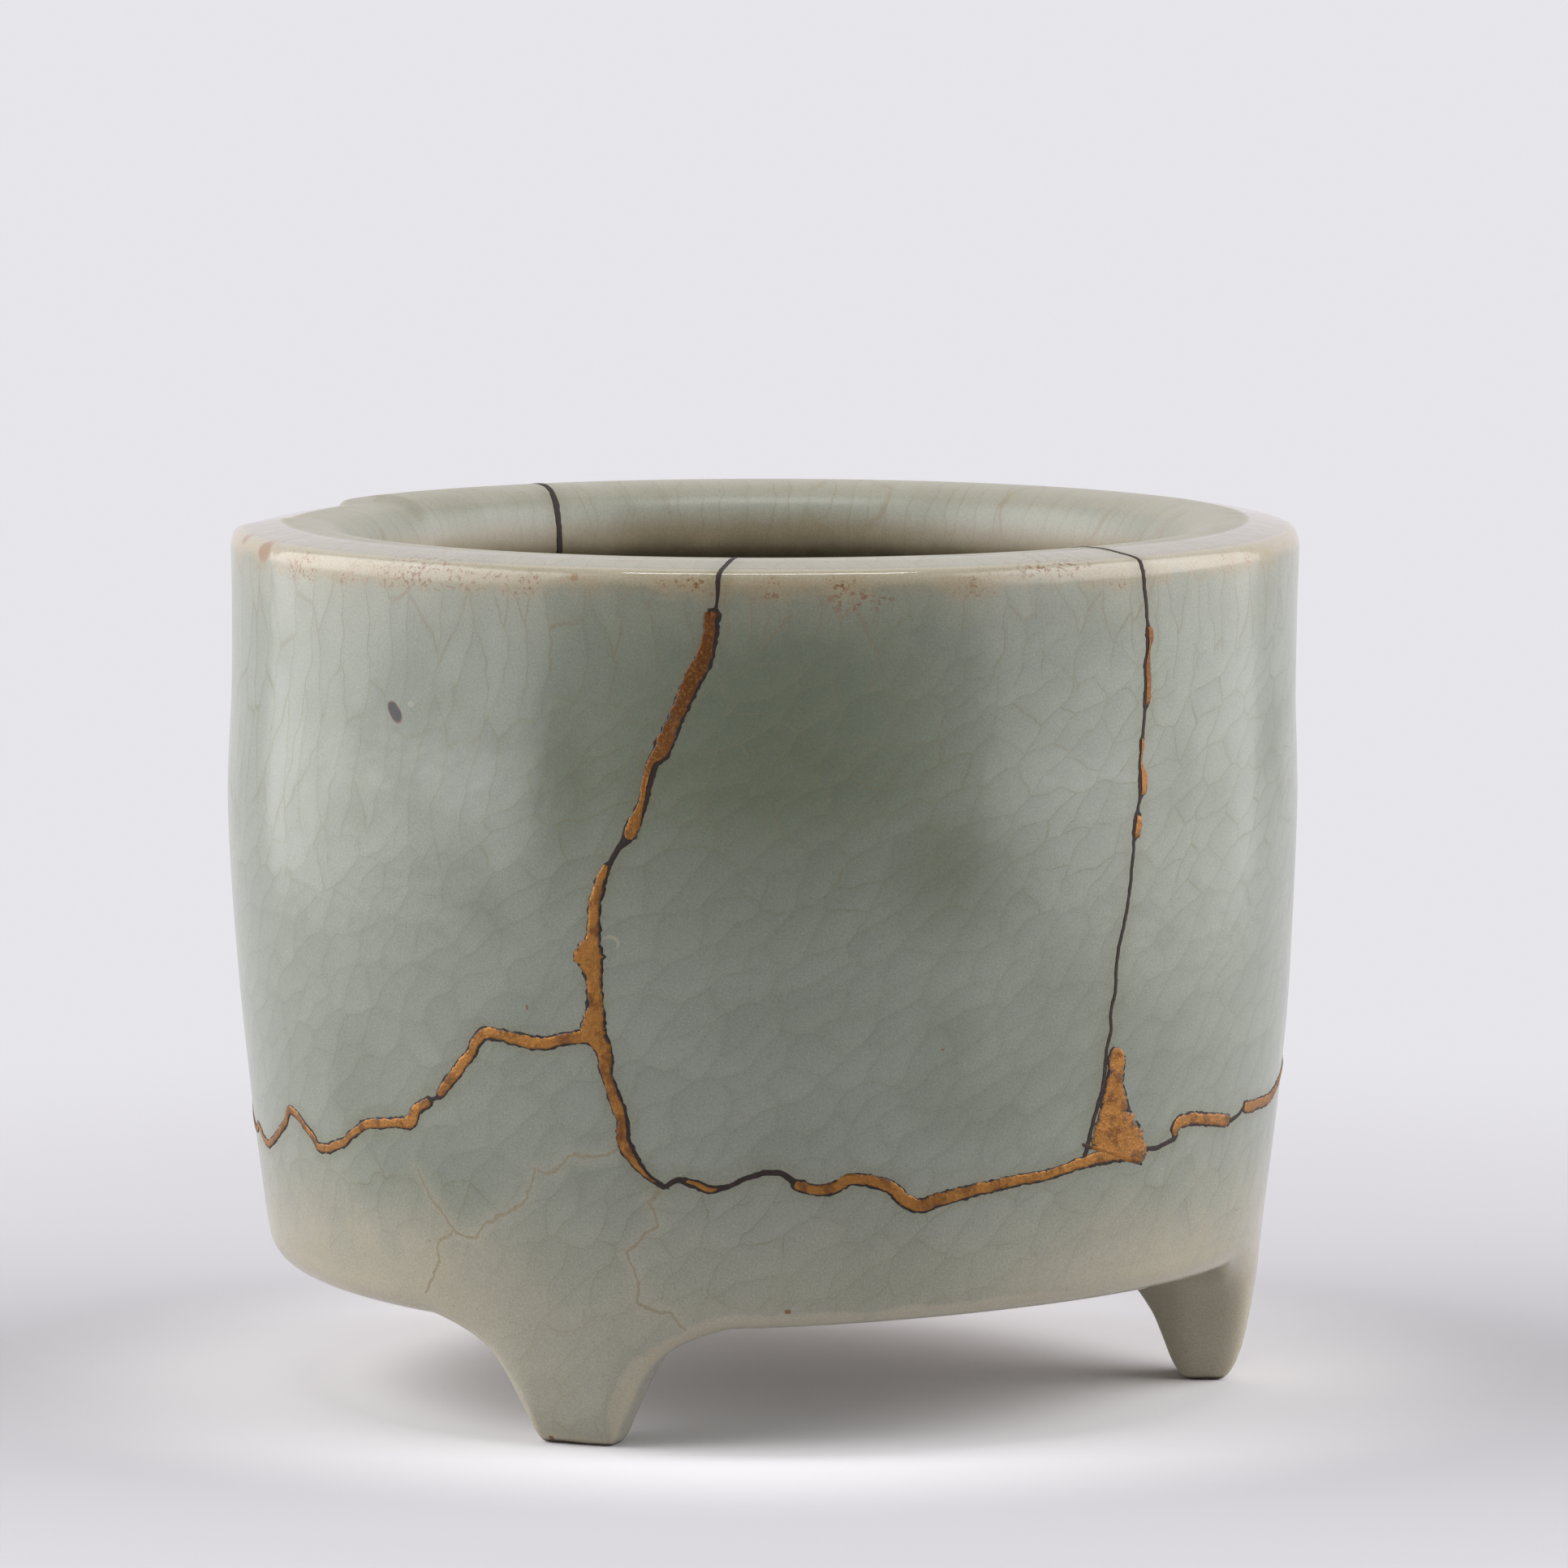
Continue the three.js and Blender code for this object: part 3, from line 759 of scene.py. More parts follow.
# Breaks run straight through the wall, at a slant: the azimuth of a break at other radii.
def slantedAzimuth(azimuth, slant, radius):
    outer = vessel["radius"]
    inner = outer - lacquer["slantDepth"]
    turn = np.radians(slant * (outer - inner))
    span = np.array([inner * math.sin(turn), outer - inner * math.cos(turn)])
    a = span @ span
    b = -outer * span[1]
    c = outer**2 - np.asarray(radius, float) ** 2
    t = (-b - np.sqrt(b * b - a * c)) / a
    return azimuth + np.degrees(np.arctan2(t * span[0], outer - t * span[1]))


# The thin wedge that parts two sherds along a break, run on past both its ends.
def breakCutter(name, course, slant, overRim):
    half = lacquer["gap"] / 2
    first = course[0, :2] + ((0, 5) if overRim else (course[0, :2] - course[4, :2]) * 0.5)
    last = course[-1, :2] + (course[-1, :2] - course[-5, :2]) * 0.5
    ends = np.vstack([first, course[:, :2], last])
    tangent = np.gradient(ends, axis=0)
    tangent /= np.linalg.norm(tangent, axis=1)[:, None]
    across = np.stack([tangent[:, 1], -tangent[:, 0]], axis=1) * half
    vertices = []
    for (arc, z), (sideArc, sideZ) in zip(ends, across):
        for sign in (-1, 1):
            azimuth = math.degrees((arc + sign * sideArc) / lacquer["arcRadius"])
            height = z + sign * sideZ
            for radius in lacquer["cutRadii"]:
                turned = slantedAzimuth(azimuth, slant, radius)
                vertices.append(onCylinder(turned, radius, height) * mm)
    faces = []
    for i in range(len(ends) - 1):
        a, b = 4 * i, 4 * i + 4
        for p, q in ((0, 1), (1, 3), (3, 2), (2, 0)):
            faces.append((a + p, a + q, b + q, b + p))
    last = 4 * (len(ends) - 1)
    faces += [(0, 2, 3, 1), (last, last + 1, last + 3, last + 2)]
    cutter = meshObject(name, vertices, faces=faces)
    pointFacesOut(cutter.data)
    return cutter


# The whole line that a seam follows on the glaze, as azimuth, radius, height and table columns.
def seamLine(profile, course, overRim, slant, inside=False):
    azimuth = np.degrees(course[:, 0] / lacquer["arcRadius"])
    z = course[:, 1]

    def rowsAt(sideInside):
        radius = wallRadius(profile, z, sideInside)
        turned = slantedAzimuth(azimuth, slant, radius)
        return np.column_stack([turned, radius, z, course[:, 2:]])

    if not overRim:
        return rowsAt(inside)
    outsideRows = rowsAt(False)[::-1]
    insideRows = rowsAt(True)
    lip = crestAndLip(profile)[1]
    start = int(np.argmax(profile[:, 1] > z[0] + 0.1))
    stretch = profile[start : lip + 4]
    fromTo = np.linspace(0, 1, len(stretch))
    sway, pace = lacquer["rimSway"]
    rim = np.column_stack([
        slantedAzimuth(azimuth[0], slant, stretch[:, 0]) + sway * np.sin(fromTo * pace),
        stretch,
        np.full((len(stretch), 1), course[0, 2]),
        np.zeros((len(stretch), 2)),
    ])
    insideRows = insideRows[insideRows[:, 2] < stretch[-1, 1] - 0.2]
    insideRows[:, shiftColumn] = 0
    return np.vstack([outsideRows, rim, insideRows])


# How much of its half width a strip keeps on one side, this far along.
def nibbled(along, seed, side):
    coarse, coarseWave = lacquer["coarseNibble"]
    fine, fineWave = lacquer["fineNibble"]
    coarseNoise = noise.noise(Vector((along / coarseWave, seed * 3.7, side)))
    fineNoise = noise.noise(Vector((along / fineWave, seed, side + 9)))
    return 1 + coarse * coarseNoise + fine * fineNoise


# One strip of lacquer on the glaze: a helper mesh holds its line, and the tree builds the strip.
def makeStrip(name, line, column, proud, seed, tree, glazeSurface, profileObject, material):
    points = np.array([onCylinder(*row[:3]) for row in line])
    tangent = np.gradient(points, axis=0)
    kernel = np.ones(5) / 5
    padded = np.pad(tangent, ((2, 2), (0, 0)), mode="edge")
    tangent = np.stack([np.convolve(padded[:, k], kernel, "valid") for k in range(3)], axis=1)
    tangent /= np.linalg.norm(tangent, axis=1)[:, None]
    outward = np.array([glazeSurface["normalAt"](p) for p in points])
    across = np.cross(tangent, outward)
    across /= np.linalg.norm(across, axis=1)[:, None]
    shift = line[:, shiftColumn] if column == goldColumn else np.zeros(len(line))
    share, swing, swingWave = lacquer["thickness"]
    along = np.concatenate([[0], np.cumsum(np.linalg.norm(np.diff(points, axis=0), axis=1))])
    sizes = []
    for i, s in enumerate(along):
        half = line[i, column] / 2
        ends = min(s, along[-1] - s) / lacquer["endLength"]
        fullness = math.sqrt(min(1, max(0, ends)))
        left = max(0, half * nibbled(s, seed, 0) - shift[i]) * fullness
        right = max(0, half * nibbled(s, seed, 1) + shift[i]) * fullness
        thickness = share + swing * noise.noise(Vector((s / swingWave, seed * 5.1, 4)))
        height = proud * thickness * min(1, ends)
        sizes.append((left * mm, right * mm, height * mm))
    helper = meshObject(name + "Line", points * mm)
    putAttribute(helper, "across", across, "FLOAT_VECTOR")
    putAttribute(helper, "sizes", sizes, "FLOAT_VECTOR")
    strip = meshObject(name, [])
    useTree(
        strip,
        tree,
        {
            "Columns": len(points),
            "Rows": len(lacquerSection),
            "Line": helper,
            "Lacquer Section": profileObject,
            "Glaze Surface": glazeSurface["object"],
            "Material": material,
        },
    )
    applyModifiers(strip, name)
    discard(helper)
    return strip


# Lays a flattened section along a line, each point of it at its own height over the glaze.
def lacquerTree():
    inputs = [
        ("Columns", "NodeSocketInt"),
        ("Rows", "NodeSocketInt"),
        ("Line", "NodeSocketObject"),
        ("Lacquer Section", "NodeSocketObject"),
        ("Glaze Surface", "NodeSocketObject"),
        ("Material", "NodeSocketMaterial"),
    ]
    tree, given, grid, column, row = startTree("lacquerStrip", inputs)
    source = givenMeshes(tree, given, ("Line", "Lacquer Section", "Glaze Surface"))
    position = addNode(tree, "GeometryNodeInputPosition").outputs[0]
    linePoint = sampled(tree, source["Line"], position, column, "FLOAT_VECTOR")
    across = sampled(tree, source["Line"], named(tree, "across", "FLOAT_VECTOR"), column, "FLOAT_VECTOR")
    sizes = sampled(tree, source["Line"], named(tree, "sizes", "FLOAT_VECTOR"), column, "FLOAT_VECTOR")
    corner = addNode(
        tree,
        "ShaderNodeSeparateXYZ",
        {0: sampled(tree, source["Lacquer Section"], position, row, "FLOAT_VECTOR")},
    )
    size = addNode(tree, "ShaderNodeSeparateXYZ", {0: sizes})
    onRight = maths(tree, "GREATER_THAN", corner.outputs["X"], 0.0)
    onLeft = maths(tree, "SUBTRACT", 1.0, onRight)
    half = maths(
        tree,
        "MULTIPLY_ADD",
        size.outputs["X"],
        onLeft,
        maths(tree, "MULTIPLY", size.outputs["Y"], onRight),
    )
    sideways = vectorMaths(tree, "SCALE", across, maths(tree, "MULTIPLY", corner.outputs["X"], half))
    wanted = vectorMaths(tree, "ADD", linePoint, sideways)
    nearest = addNode(
        tree,
        "GeometryNodeProximity",
        {0: source["Glaze Surface"], "Sample Position": wanted},
        target_element="FACES",
    )
    normal = addNode(tree, "GeometryNodeInputNormal").outputs[0]
    surface = addNode(tree, "GeometryNodeSampleNearestSurface", data_type="FLOAT_VECTOR")
    tree.links.new(source["Glaze Surface"], surface.inputs["Mesh"])
    tree.links.new(normal, next(s for s in surface.inputs if s.name == "Value" and s.enabled))
    tree.links.new(wanted, surface.inputs["Sample Position"])
    outward = next(s for s in surface.outputs if s.enabled and s.name == "Value")
    rise = maths(tree, "MULTIPLY", corner.outputs["Z"], size.outputs["Z"])
    raised = vectorMaths(tree, "SCALE", outward, rise)
    place = vectorMaths(tree, "ADD", nearest.outputs["Position"], raised)
    edge = addNode(
        tree,
        "GeometryNodeStoreNamedAttribute",
        {"Geometry": grid, "Name": "edge", "Value": maths(tree, "ABSOLUTE", corner.outputs["X"])},
    )
    finishTree(tree, given, edge.outputs[0], place, 2e-6)
    return tree


# Slant of a break, and whether it runs on over the rim.
def breakStyle(name):
    table = breaks[name]
    return table.get("slant", lacquer["slant"]), table.get("overRim", False)


# Stretches of a line where the gold lies.
def goldStretches(line):
    has = line[:, goldColumn] > lacquer["leastGold"]
    edges = np.flatnonzero(np.diff(np.concatenate([[0], has.astype(int), [0]])))
    return [(a, b) for a, b in zip(edges[::2], edges[1::2]) if b - a > lacquer["shortestGold"]]


def makeLacquer(body, profile, courses, gold, dark):
    tree = lacquerTree()
    profileObject = meshObject("lacquerSection", [(x, 0, z) for x, z in lacquerSection])
    vertexTree = KDTree(len(body.data.vertices))
    for vertex in body.data.vertices:
        vertexTree.insert(vertex.co, vertex.index)
    vertexTree.balance()
    glazeSurface = {
        "object": body,
        "normalAt": lambda p: body.data.vertices[vertexTree.find(Vector(p) * mm)[1]].normal,
    }
    strips = []

    def lay(name, line, column, proud, seed, material):
        shared = (tree, glazeSurface, profileObject, material)
        strips.append(makeStrip(name, line, column, proud, seed, *shared))

    lines = []
    for name, course in courses.items():
        slant, overRim = breakStyle(name)
        lines.append(seamLine(profile, course, overRim, slant))
        if not overRim:
            lines.append(seamLine(profile, course, False, slant, inside=True))
    for seed, line in enumerate(lines):
        lay(f"dark{seed}", line, darkColumn, lacquer["darkProud"], seed, dark)
        for k, (first, last) in enumerate(goldStretches(line)):
            stretch = line[first:last]
            lay(f"gold{seed}_{k}", stretch, goldColumn, lacquer["goldProud"], seed + 20 + k, gold)
    patchCourse = raggedCourse(cornerPatch, 31)
    for inside in (False, True):
        patch = seamLine(profile, patchCourse, False, lacquer["slant"], inside)
        lay("darkPatch", patch, darkColumn, lacquer["darkProud"] * 1.2, 51, dark)
        lay("goldPatch", patch, goldColumn, lacquer["patchProud"], 52, gold)
    discard(profileObject)
    whole = joinPieces(strips, "gold_lacquer_seam_lines")
    pointFacesOut(whole.data)
    print("lacquer laid:", len(strips), "strips,", triangles(whole), "triangles")
    return whole, lines


def joinPieces(things, name):
    selectOnly(things)
    if len(things) > 1:
        bpy.ops.object.join()
    things[0].name = name
    things[0].data.name = name
    return things[0]


sherdSettings = {
    "middles": {"front_wall_sherd": 13, "left_wall_sherd": -84, "back_wall_sherd": 126},  # azimuths
    "base": "base_sherd_with_feet",
    "baseReaches": 5,  # below the underside, which only the piece with the feet does
    "fewestPoints": 500,  # what has fewer is a splinter of the cut
}


# Which sherd a loose piece of the vessel is, from its points.
def sherdName(points):
    if points[:, 2].min() < vessel["underside"] - sherdSettings["baseReaches"]:
        return sherdSettings["base"]
    middles = sherdSettings["middles"]
    middle = (points.min(axis=0) + points.max(axis=0)) / 2
    facing = math.degrees(math.atan2(middle[0], -middle[1]))
    return min(middles, key=lambda name: 1 - math.cos(math.radians(facing - middles[name])))


# Parts the vessel along the breaks.
def breakVessel(body, courses):
    for name, course in courses.items():
        cutter = breakCutter(name + "Cutter", course, *breakStyle(name))
        cut = body.modifiers.new(name, "BOOLEAN")
        cut.operation = "DIFFERENCE"
        cut.solver = "MANIFOLD"
        cut.object = cutter
        applyModifiers(body, "firedVessel")
        discard(cutter)
    selectOnly([body])
    bpy.ops.object.mode_set(mode="EDIT")
    bpy.ops.mesh.select_all(action="SELECT")
    bpy.ops.mesh.separate(type="LOOSE")
    bpy.ops.object.mode_set(mode="OBJECT")
    parts = [thing for thing in bpy.context.selected_objects if thing.type == "MESH"]
    sherds = {}
    for part in parts:
        points = positionsOf(part.data) / mm
        if len(points) < sherdSettings["fewestPoints"]:
            print("dropped a splinter of", len(points), "points")
            discard(part)
            continue
        name = sherdName(points)
        part.name = name + "_glazed"
        part.data.name = part.name
        sherds[name] = part
    print("sherds:", {name: triangles(part) for name, part in sherds.items()})
    return sherds


def shadeSmooth(thing, angle=38):
    mesh = thing.data
    mesh.shade_smooth()
    mesh.set_sharp_from_angle(angle=math.radians(angle))


# Glaze

# Seen from the front the pot has darker green ovals: pooled glaze of its own, and the largest, high in the
# middle of the front, is also painted shade. Azimuth, height, half width, half height, strength.
greenPoolsAndFrontShade = [(1, 62, 17, 15, 1), (18.5, 50, 7, 6, 0.8), (-21, 58, 4.5, 9, 0.75), (4, 38, 9, 4, 0.25)]
rimSpeckles = [
    (-37, 73.2, 6.0, 1.1, 1), (10, 71.7, 2.8, 0.9, 1),
    (32, 73.8, 4, 0.7, 1), (-58, 72.6, 2.5, 1.4, 1),
]
chips = [(-67.5, 73.4, 1.3, 0.9, 0.9), (-76, 74.0, 0.9, 0.5, 0.8), (-20, 73.5, 0.35, 0.3, 0.8)]
spots = [
    (-26.4, 0.5, 0.28, 0.22, 1), (2.6, 12.2, 0.3, 0.2, 1),
    (-25.6, 37.5, 0.1, 0.25, 0.8), (19, 34.2, 0.14, 0.08, 0.9),
]
paleRings = [(-16.1, 43.3, 0.8, 0.6, 0.8), (-39.8, 62.2, 0.34, 0.26, 0.6)]
ringMiddles = [(-16.25, 43.15, 0.68, 0.46, 0.8)]
# A brown-rimmed spot where iron broke through the glaze. Each coat: colour, half sizes, strength.
ironSpot = {
    "azimuth": -42.0,
    "height": 61.3,
    "coats": (("rust", (0.74, 1.10), 0.9), ("iron", (0.66, 1.00), 1.0)),
    "soft": 0.15,
    "turn": 25,  # degrees
}
# Brown cracks, each from point to point: azimuth and height.
hairlines = [
    [
        (-15.4, 26.3), (-18.5, 25.3), (-21.5, 24.9), (-23.6, 23.6), (-25.7, 23.8), (-26.8, 21.3),
        (-29.2, 19.9), (-32.6, 18.8), (-33.7, 17.6), (-36.2, 17.9), (-39.4, 20.5), (-41.2, 22.9),
    ],
    [(-36.4, 18.2), (-38.9, 16.8), (-38.9, 14.9), (-41.7, 12.2)],
    [
        (-11.4, 22.6), (-12.7, 21.5), (-11.8, 19.4), (-15.2, 17.1),
        (-14.3, 15.0), (-14.6, 12.8), (-10.4, 12.0), (-8.8, 10.8),
    ],
]
glazeSettings = {
    "body": (0.196, 0.210, 0.172),
    "pooledGreenAndShade": (0.095, 0.111, 0.072),
    "cream": (0.320, 0.288, 0.212),
    "tan": (0.260, 0.200, 0.112),
    "line": (0.135, 0.122, 0.066),
    "rimLine": (0.135, 0.082, 0.034),
    # near black for the inner wall below the lip: painted shade
    "hairline": (0.190, 0.145, 0.085),
    "inside": (0.055, 0.050, 0.034),
    "stain": (0.240, 0.172, 0.080),
    "sole": (0.050, 0.028, 0.016),
    "iron": (0.006, 0.005, 0.005),
    "rust": (0.150, 0.065, 0.026),
    "chip": (0.220, 0.130, 0.075),
    "cell": 3.3,
    "upright": 2.7,
    "slope": 0.8,  # how far the cells lean: sideways over up
    "roughness": 0.19,
}


def newMaterial(name):
    material = bpy.data.materials.new(name)
    material.use_nodes = True
    tree = material.node_tree
    shader = tree.nodes["Principled BSDF"]
    return material, tree, shader


def mixColour(tree, amount, first, second, blend="MIX"):
    def four(value):
        return (*value, 1) if isinstance(value, tuple) and len(value) == 3 else value

    node = addNode(
        tree,
        "ShaderNodeMix",
        {0: amount, 6: four(first), 7: four(second)},
        data_type="RGBA",
        blend_type=blend,
    )
    return node.outputs[2]


# Where a point of the piece is, in millimetres.
def placeOn(tree):
    return vectorMaths(tree, "SCALE", addNode(tree, "ShaderNodeTexCoord").outputs["Object"], 1 / mm)


def roughen(tree, shader, height, strength, depth):
    bump = addNode(tree, "ShaderNodeBump", {"Height": height, "Strength": strength, "Distance": depth * mm})
    tree.links.new(bump.outputs[0], shader.inputs["Normal"])


def noiseAt(tree, vector, scale, detail=2.0, roughness=0.5, output=0):
    inputs = {"Vector": vector, "Scale": scale, "Detail": detail, "Roughness": roughness}
    return addNode(tree, "ShaderNodeTexNoise", inputs).outputs[output]


# 1 within an upright oval on the unrolled wall, falling softly to 0 outside it
def ovalMark(tree, u, z, azimuth, height, halfWidth, halfHeight, soft=0.5, turn=0.0):
    du = maths(tree, "SUBTRACT", u, math.radians(azimuth) * vessel["radius"])
    dz = maths(tree, "SUBTRACT", z, height)
    if turn:
        c, s = math.cos(math.radians(turn)), math.sin(math.radians(turn))
        du, dz = (
            maths(tree, "MULTIPLY_ADD", du, c, maths(tree, "MULTIPLY", dz, s)),
            maths(tree, "MULTIPLY_ADD", dz, c, maths(tree, "MULTIPLY", du, -s)),
        )
    du = maths(tree, "DIVIDE", du, halfWidth)
    dz = maths(tree, "DIVIDE", dz, halfHeight)
    away = maths(tree, "SQRT", maths(tree, "MULTIPLY_ADD", du, du, maths(tree, "MULTIPLY", dz, dz)))
    return fade(tree, away, 1 + soft, 1 - soft)


# How far a place on the unrolled wall is from the nearest of some lines.
def distanceToLines(tree, place, lines):
    nearest = None
    for line in lines:
        points = [(math.radians(a) * vessel["radius"], z, 0) for a, z in line]
        for start, end in zip(points, points[1:]):
            span = Vector(end) - Vector(start)
            fromStart = vectorMaths(tree, "SUBTRACT", place, start)
            share = maths(
                tree,
                "DIVIDE",
                vectorMaths(tree, "DOT_PRODUCT", fromStart, tuple(span)),
                span.length_squared,
                clamp=True,
            )
            along = vectorMaths(tree, "SCALE", tuple(span), share)
            offset = vectorMaths(tree, "LENGTH", vectorMaths(tree, "SUBTRACT", fromStart, along))
            nearest = maths(tree, "MINIMUM", nearest, offset) if nearest else offset
    return nearest


# The crackle: a web of fine lines, and a tone that steps at each of them, with painted shade across each
# cell, lighter on one side.
def crackle(tree, place, cell, width):
    inputs = {"Vector": place, "Scale": 1 / cell, "Randomness": 1.0}

    def cells(feature):
        return addNode(tree, "ShaderNodeTexVoronoi", inputs, feature=feature, voronoi_dimensions="2D")

    edge = cells("DISTANCE_TO_EDGE").outputs["Distance"]
    nearest = cells("F1")
    number = addNode(tree, "ShaderNodeSeparateColor", {0: nearest.outputs["Color"]}).outputs[0]
    offset = vectorMaths(tree, "SUBTRACT", place, nearest.outputs["Position"])
    # painted shade: each cell lighter on one side and darker towards the other
    lit = vectorMaths(tree, "DOT_PRODUCT", offset, (0.022, -0.012, 0))
    tone = maths(tree, "ADD", maths(tree, "MULTIPLY_ADD", number, 0.07, 0.965), lit)
    line = fade(tree, edge, width / cell, width * 0.25 / cell)
    return line, fade(tree, edge, 0.2, 0.0), tone


def anyOval(tree, u, z, ovals, soft):
    most = 0.0
    for azimuth, height, halfWidth, halfHeight, strength in ovals:
        mark = ovalMark(tree, u, z, azimuth, height, halfWidth, halfHeight, soft)
        most = maths(tree, "MAXIMUM", most, maths(tree, "MULTIPLY", mark, strength))
    return most


def makeGlaze():
    material, tree, shader = newMaterial("celadonGlaze")
    g = glazeSettings

    def times(first, *rest):
        for value in rest:
            first = maths(tree, "MULTIPLY", first, value)
        return first

    def plus(value, amount, base):
        return maths(tree, "MULTIPLY_ADD", value, amount, base)

    place = placeOn(tree)
    axis = addNode(tree, "ShaderNodeSeparateXYZ", {0: place})
    x, y, z = axis.outputs
    radius = vectorMaths(tree, "LENGTH", vectorOf(tree, x, y))
    u = times(maths(tree, "ARCTAN2", x, times(y, -1)), vessel["radius"])
    blotch = noiseAt(tree, place, 0.06, 2.0, 0.55)
    patch = noiseAt(tree, place, 0.19, 3.0, 0.62)
    speck = noiseAt(tree, place, 2.4, 2.0, 0.7)
    grain = noiseAt(tree, place, 6.5, 1.0, 0.5)
    half = (0.5, 0.5, 0.5)
    jitter = vectorMaths(tree, "SUBTRACT", noiseAt(tree, place, 0.2, 2.0, 0.5, 1), half)
    centred = maths(tree, "SUBTRACT", patch, 0.5)
    outside = fade(tree, radius, 41.4, 42.0)
    within = times(fade(tree, radius, 41.9, 41.2), fade(tree, z, 13.0, 16.0))

    # the unrolled surface, with its cut under the repair at the back, and flat on the floor
    spun = addNode(
        tree,
        "ShaderNodeVectorRotate",
        {"Vector": place, "Angle": math.radians(-30)},
        rotation_type="Z_AXIS",
    ).outputs[0]
    spunAxis = addNode(tree, "ShaderNodeSeparateXYZ", {0: spun})
    turn = maths(tree, "ARCTAN2", spunAxis.outputs["X"], times(spunAxis.outputs["Y"], -1))
    up = maths(tree, "ADD", z, maths(tree, "SUBTRACT", vessel["radius"], radius))
    rolled = vectorOf(tree, times(turn, vessel["radius"]), up)
    flatPart = maths(tree, "LESS_THAN", radius, 31.0)
    sheets = addNode(tree, "ShaderNodeMix", {0: flatPart, 4: rolled, 5: place}, data_type="VECTOR")
    sheet = sheets.outputs[1]
    sheet = vectorMaths(tree, "ADD", sheet, vectorMaths(tree, "SCALE", jitter, 3.0))
    sheetAxis = addNode(tree, "ShaderNodeSeparateXYZ", {0: sheet})
    across, upward = sheetAxis.outputs["X"], sheetAxis.outputs["Y"]

    # bluish body with greener pooling, weighted more higher up, plus the ovals: pooled glaze, and painted
    # shade on the upper front
    poolsAndShade = times(fade(tree, blotch, 0.47, 0.7), fade(tree, z, 30.0, 60.0, 0.25, 0.45))
    # the first oval darkens the upper front: painted shade as well as pooled glaze
    poolsAndShade = maths(tree, "MAXIMUM", poolsAndShade, times(anyOval(tree, u, z, greenPoolsAndFrontShade, 0.95), outside))
    colour = mixColour(tree, poolsAndShade, g["body"], g["pooledGreenAndShade"])

    def paint(mask, name):
        nonlocal colour
        colour = mixColour(tree, mask, colour, g[name])

    # crackle: leaning cells, and upright ones near the rim and on the left
    leaning = vectorOf(tree, plus(upward, -g["slope"], across), upward)
    bow = times(maths(tree, "SINE", times(upward, 0.16)), 1.2)
    upright = vectorOf(tree, maths(tree, "ADD", across, bow), times(upward, 0.27))
    line, side, tone = crackle(tree, leaning, g["cell"], 0.11)
    lineUp, sideUp, toneUp = crackle(tree, upright, g["upright"], 0.10)
    leftward = plus(fade(tree, u, -12.0, -30.0), 16.0, z)
    asUpright = fade(tree, plus(centred, 22.0, leftward), 64.0, 68.0)

    def either(first, second):
        mix = addNode(tree, "ShaderNodeMix", {0: asUpright, 2: first, 3: second}, data_type="FLOAT")
        return mix.outputs[0]

    line = either(line, lineUp)
    side = either(side, sideUp)
    colour = mixColour(tree, 1.0, colour, either(tone, toneUp), "MULTIPLY")
    high = fade(tree, plus(centred, 12.0, z), 40.0, 52.0)
    clear = maths(tree, "MAXIMUM", high, fade(tree, z, 25.0, 21.0, 0.0, 0.8))
    strength = times(fade(tree, patch, 0.3, 0.7, 0.15, 0.6), maths(tree, "MAXIMUM", clear, 0.15))
    paint(times(side, 0.10), "pooledGreenAndShade")
    lineColour = mixColour(tree, fade(tree, z, 64.0, 74.0), g["line"], g["rimLine"])
    colour = mixColour(tree, times(line, strength), colour, lineColour)

    # thin cream glaze on the rim, along the base and on the edges of the feet
    ragged = plus(centred, 9.0, z)
    nearRim = times(fade(tree, ragged, 66.0, 76.0), 0.35)
    besides = fade(tree, maths(tree, "ABSOLUTE", u), 14.0, 40.0, 0.4, 0.95)
    nearBase = times(fade(tree, ragged, 25.0, 10.0), besides)
    corner = times(fade(tree, plus(centred, 1.6, z), 71.9, 73.4), fade(tree, radius, 44.4, 45.2), 0.85)
    plateau = times(fade(tree, z, 73.2, 74.0), fade(tree, radius, 45.2, 44.6), 0.4)
    edgeAway = addNode(tree, "ShaderNodeAttribute", attribute_name="edgeDistance").outputs["Fac"]
    lowEdge = fade(tree, plus(centred, 2.0, edgeAway), 1.1, 0.1, 0.0, 0.85)
    cream = nearRim
    for other in (nearBase, corner, plateau, lowEdge):
        cream = maths(tree, "MAXIMUM", cream, other)
    paint(cream, "cream")
    band = times(fade(tree, plus(centred, 1.6, z), 71.4, 72.6), fade(tree, z, 74.2, 73.2), outside)
    paint(times(band, fade(tree, patch, 0.35, 0.6, 0.15, 0.55)), "tan")
    clusters = anyOval(tree, u, z, rimSpeckles, 0.6)
    scattered = times(band, fade(tree, patch, 0.5, 0.62))
    speckledArea = maths(tree, "MAXIMUM", times(clusters, outside), scattered)
    speckled = times(fade(tree, speck, 0.53, 0.62), speckledArea)
    paint(times(speckled, 0.85), "rust")
    uneven = fade(tree, patch, 0.3, 0.5, 0.4, 0.9)
    chipped = times(anyOval(tree, u, z, chips, 0.3), uneven, fade(tree, radius, 44.5, 45.2))
    paint(chipped, "chip")
    spotMask = times(anyOval(tree, u, z, spots, 0.2), fade(tree, radius, 39.0, 40.0))
    paint(spotMask, "rust")
    rings = anyOval(tree, u, z, paleRings, 0.12)
    pale = maths(tree, "SUBTRACT", rings, anyOval(tree, u, z, ringMiddles, 0.12))
    paint(times(pale, 0.6), "cream")

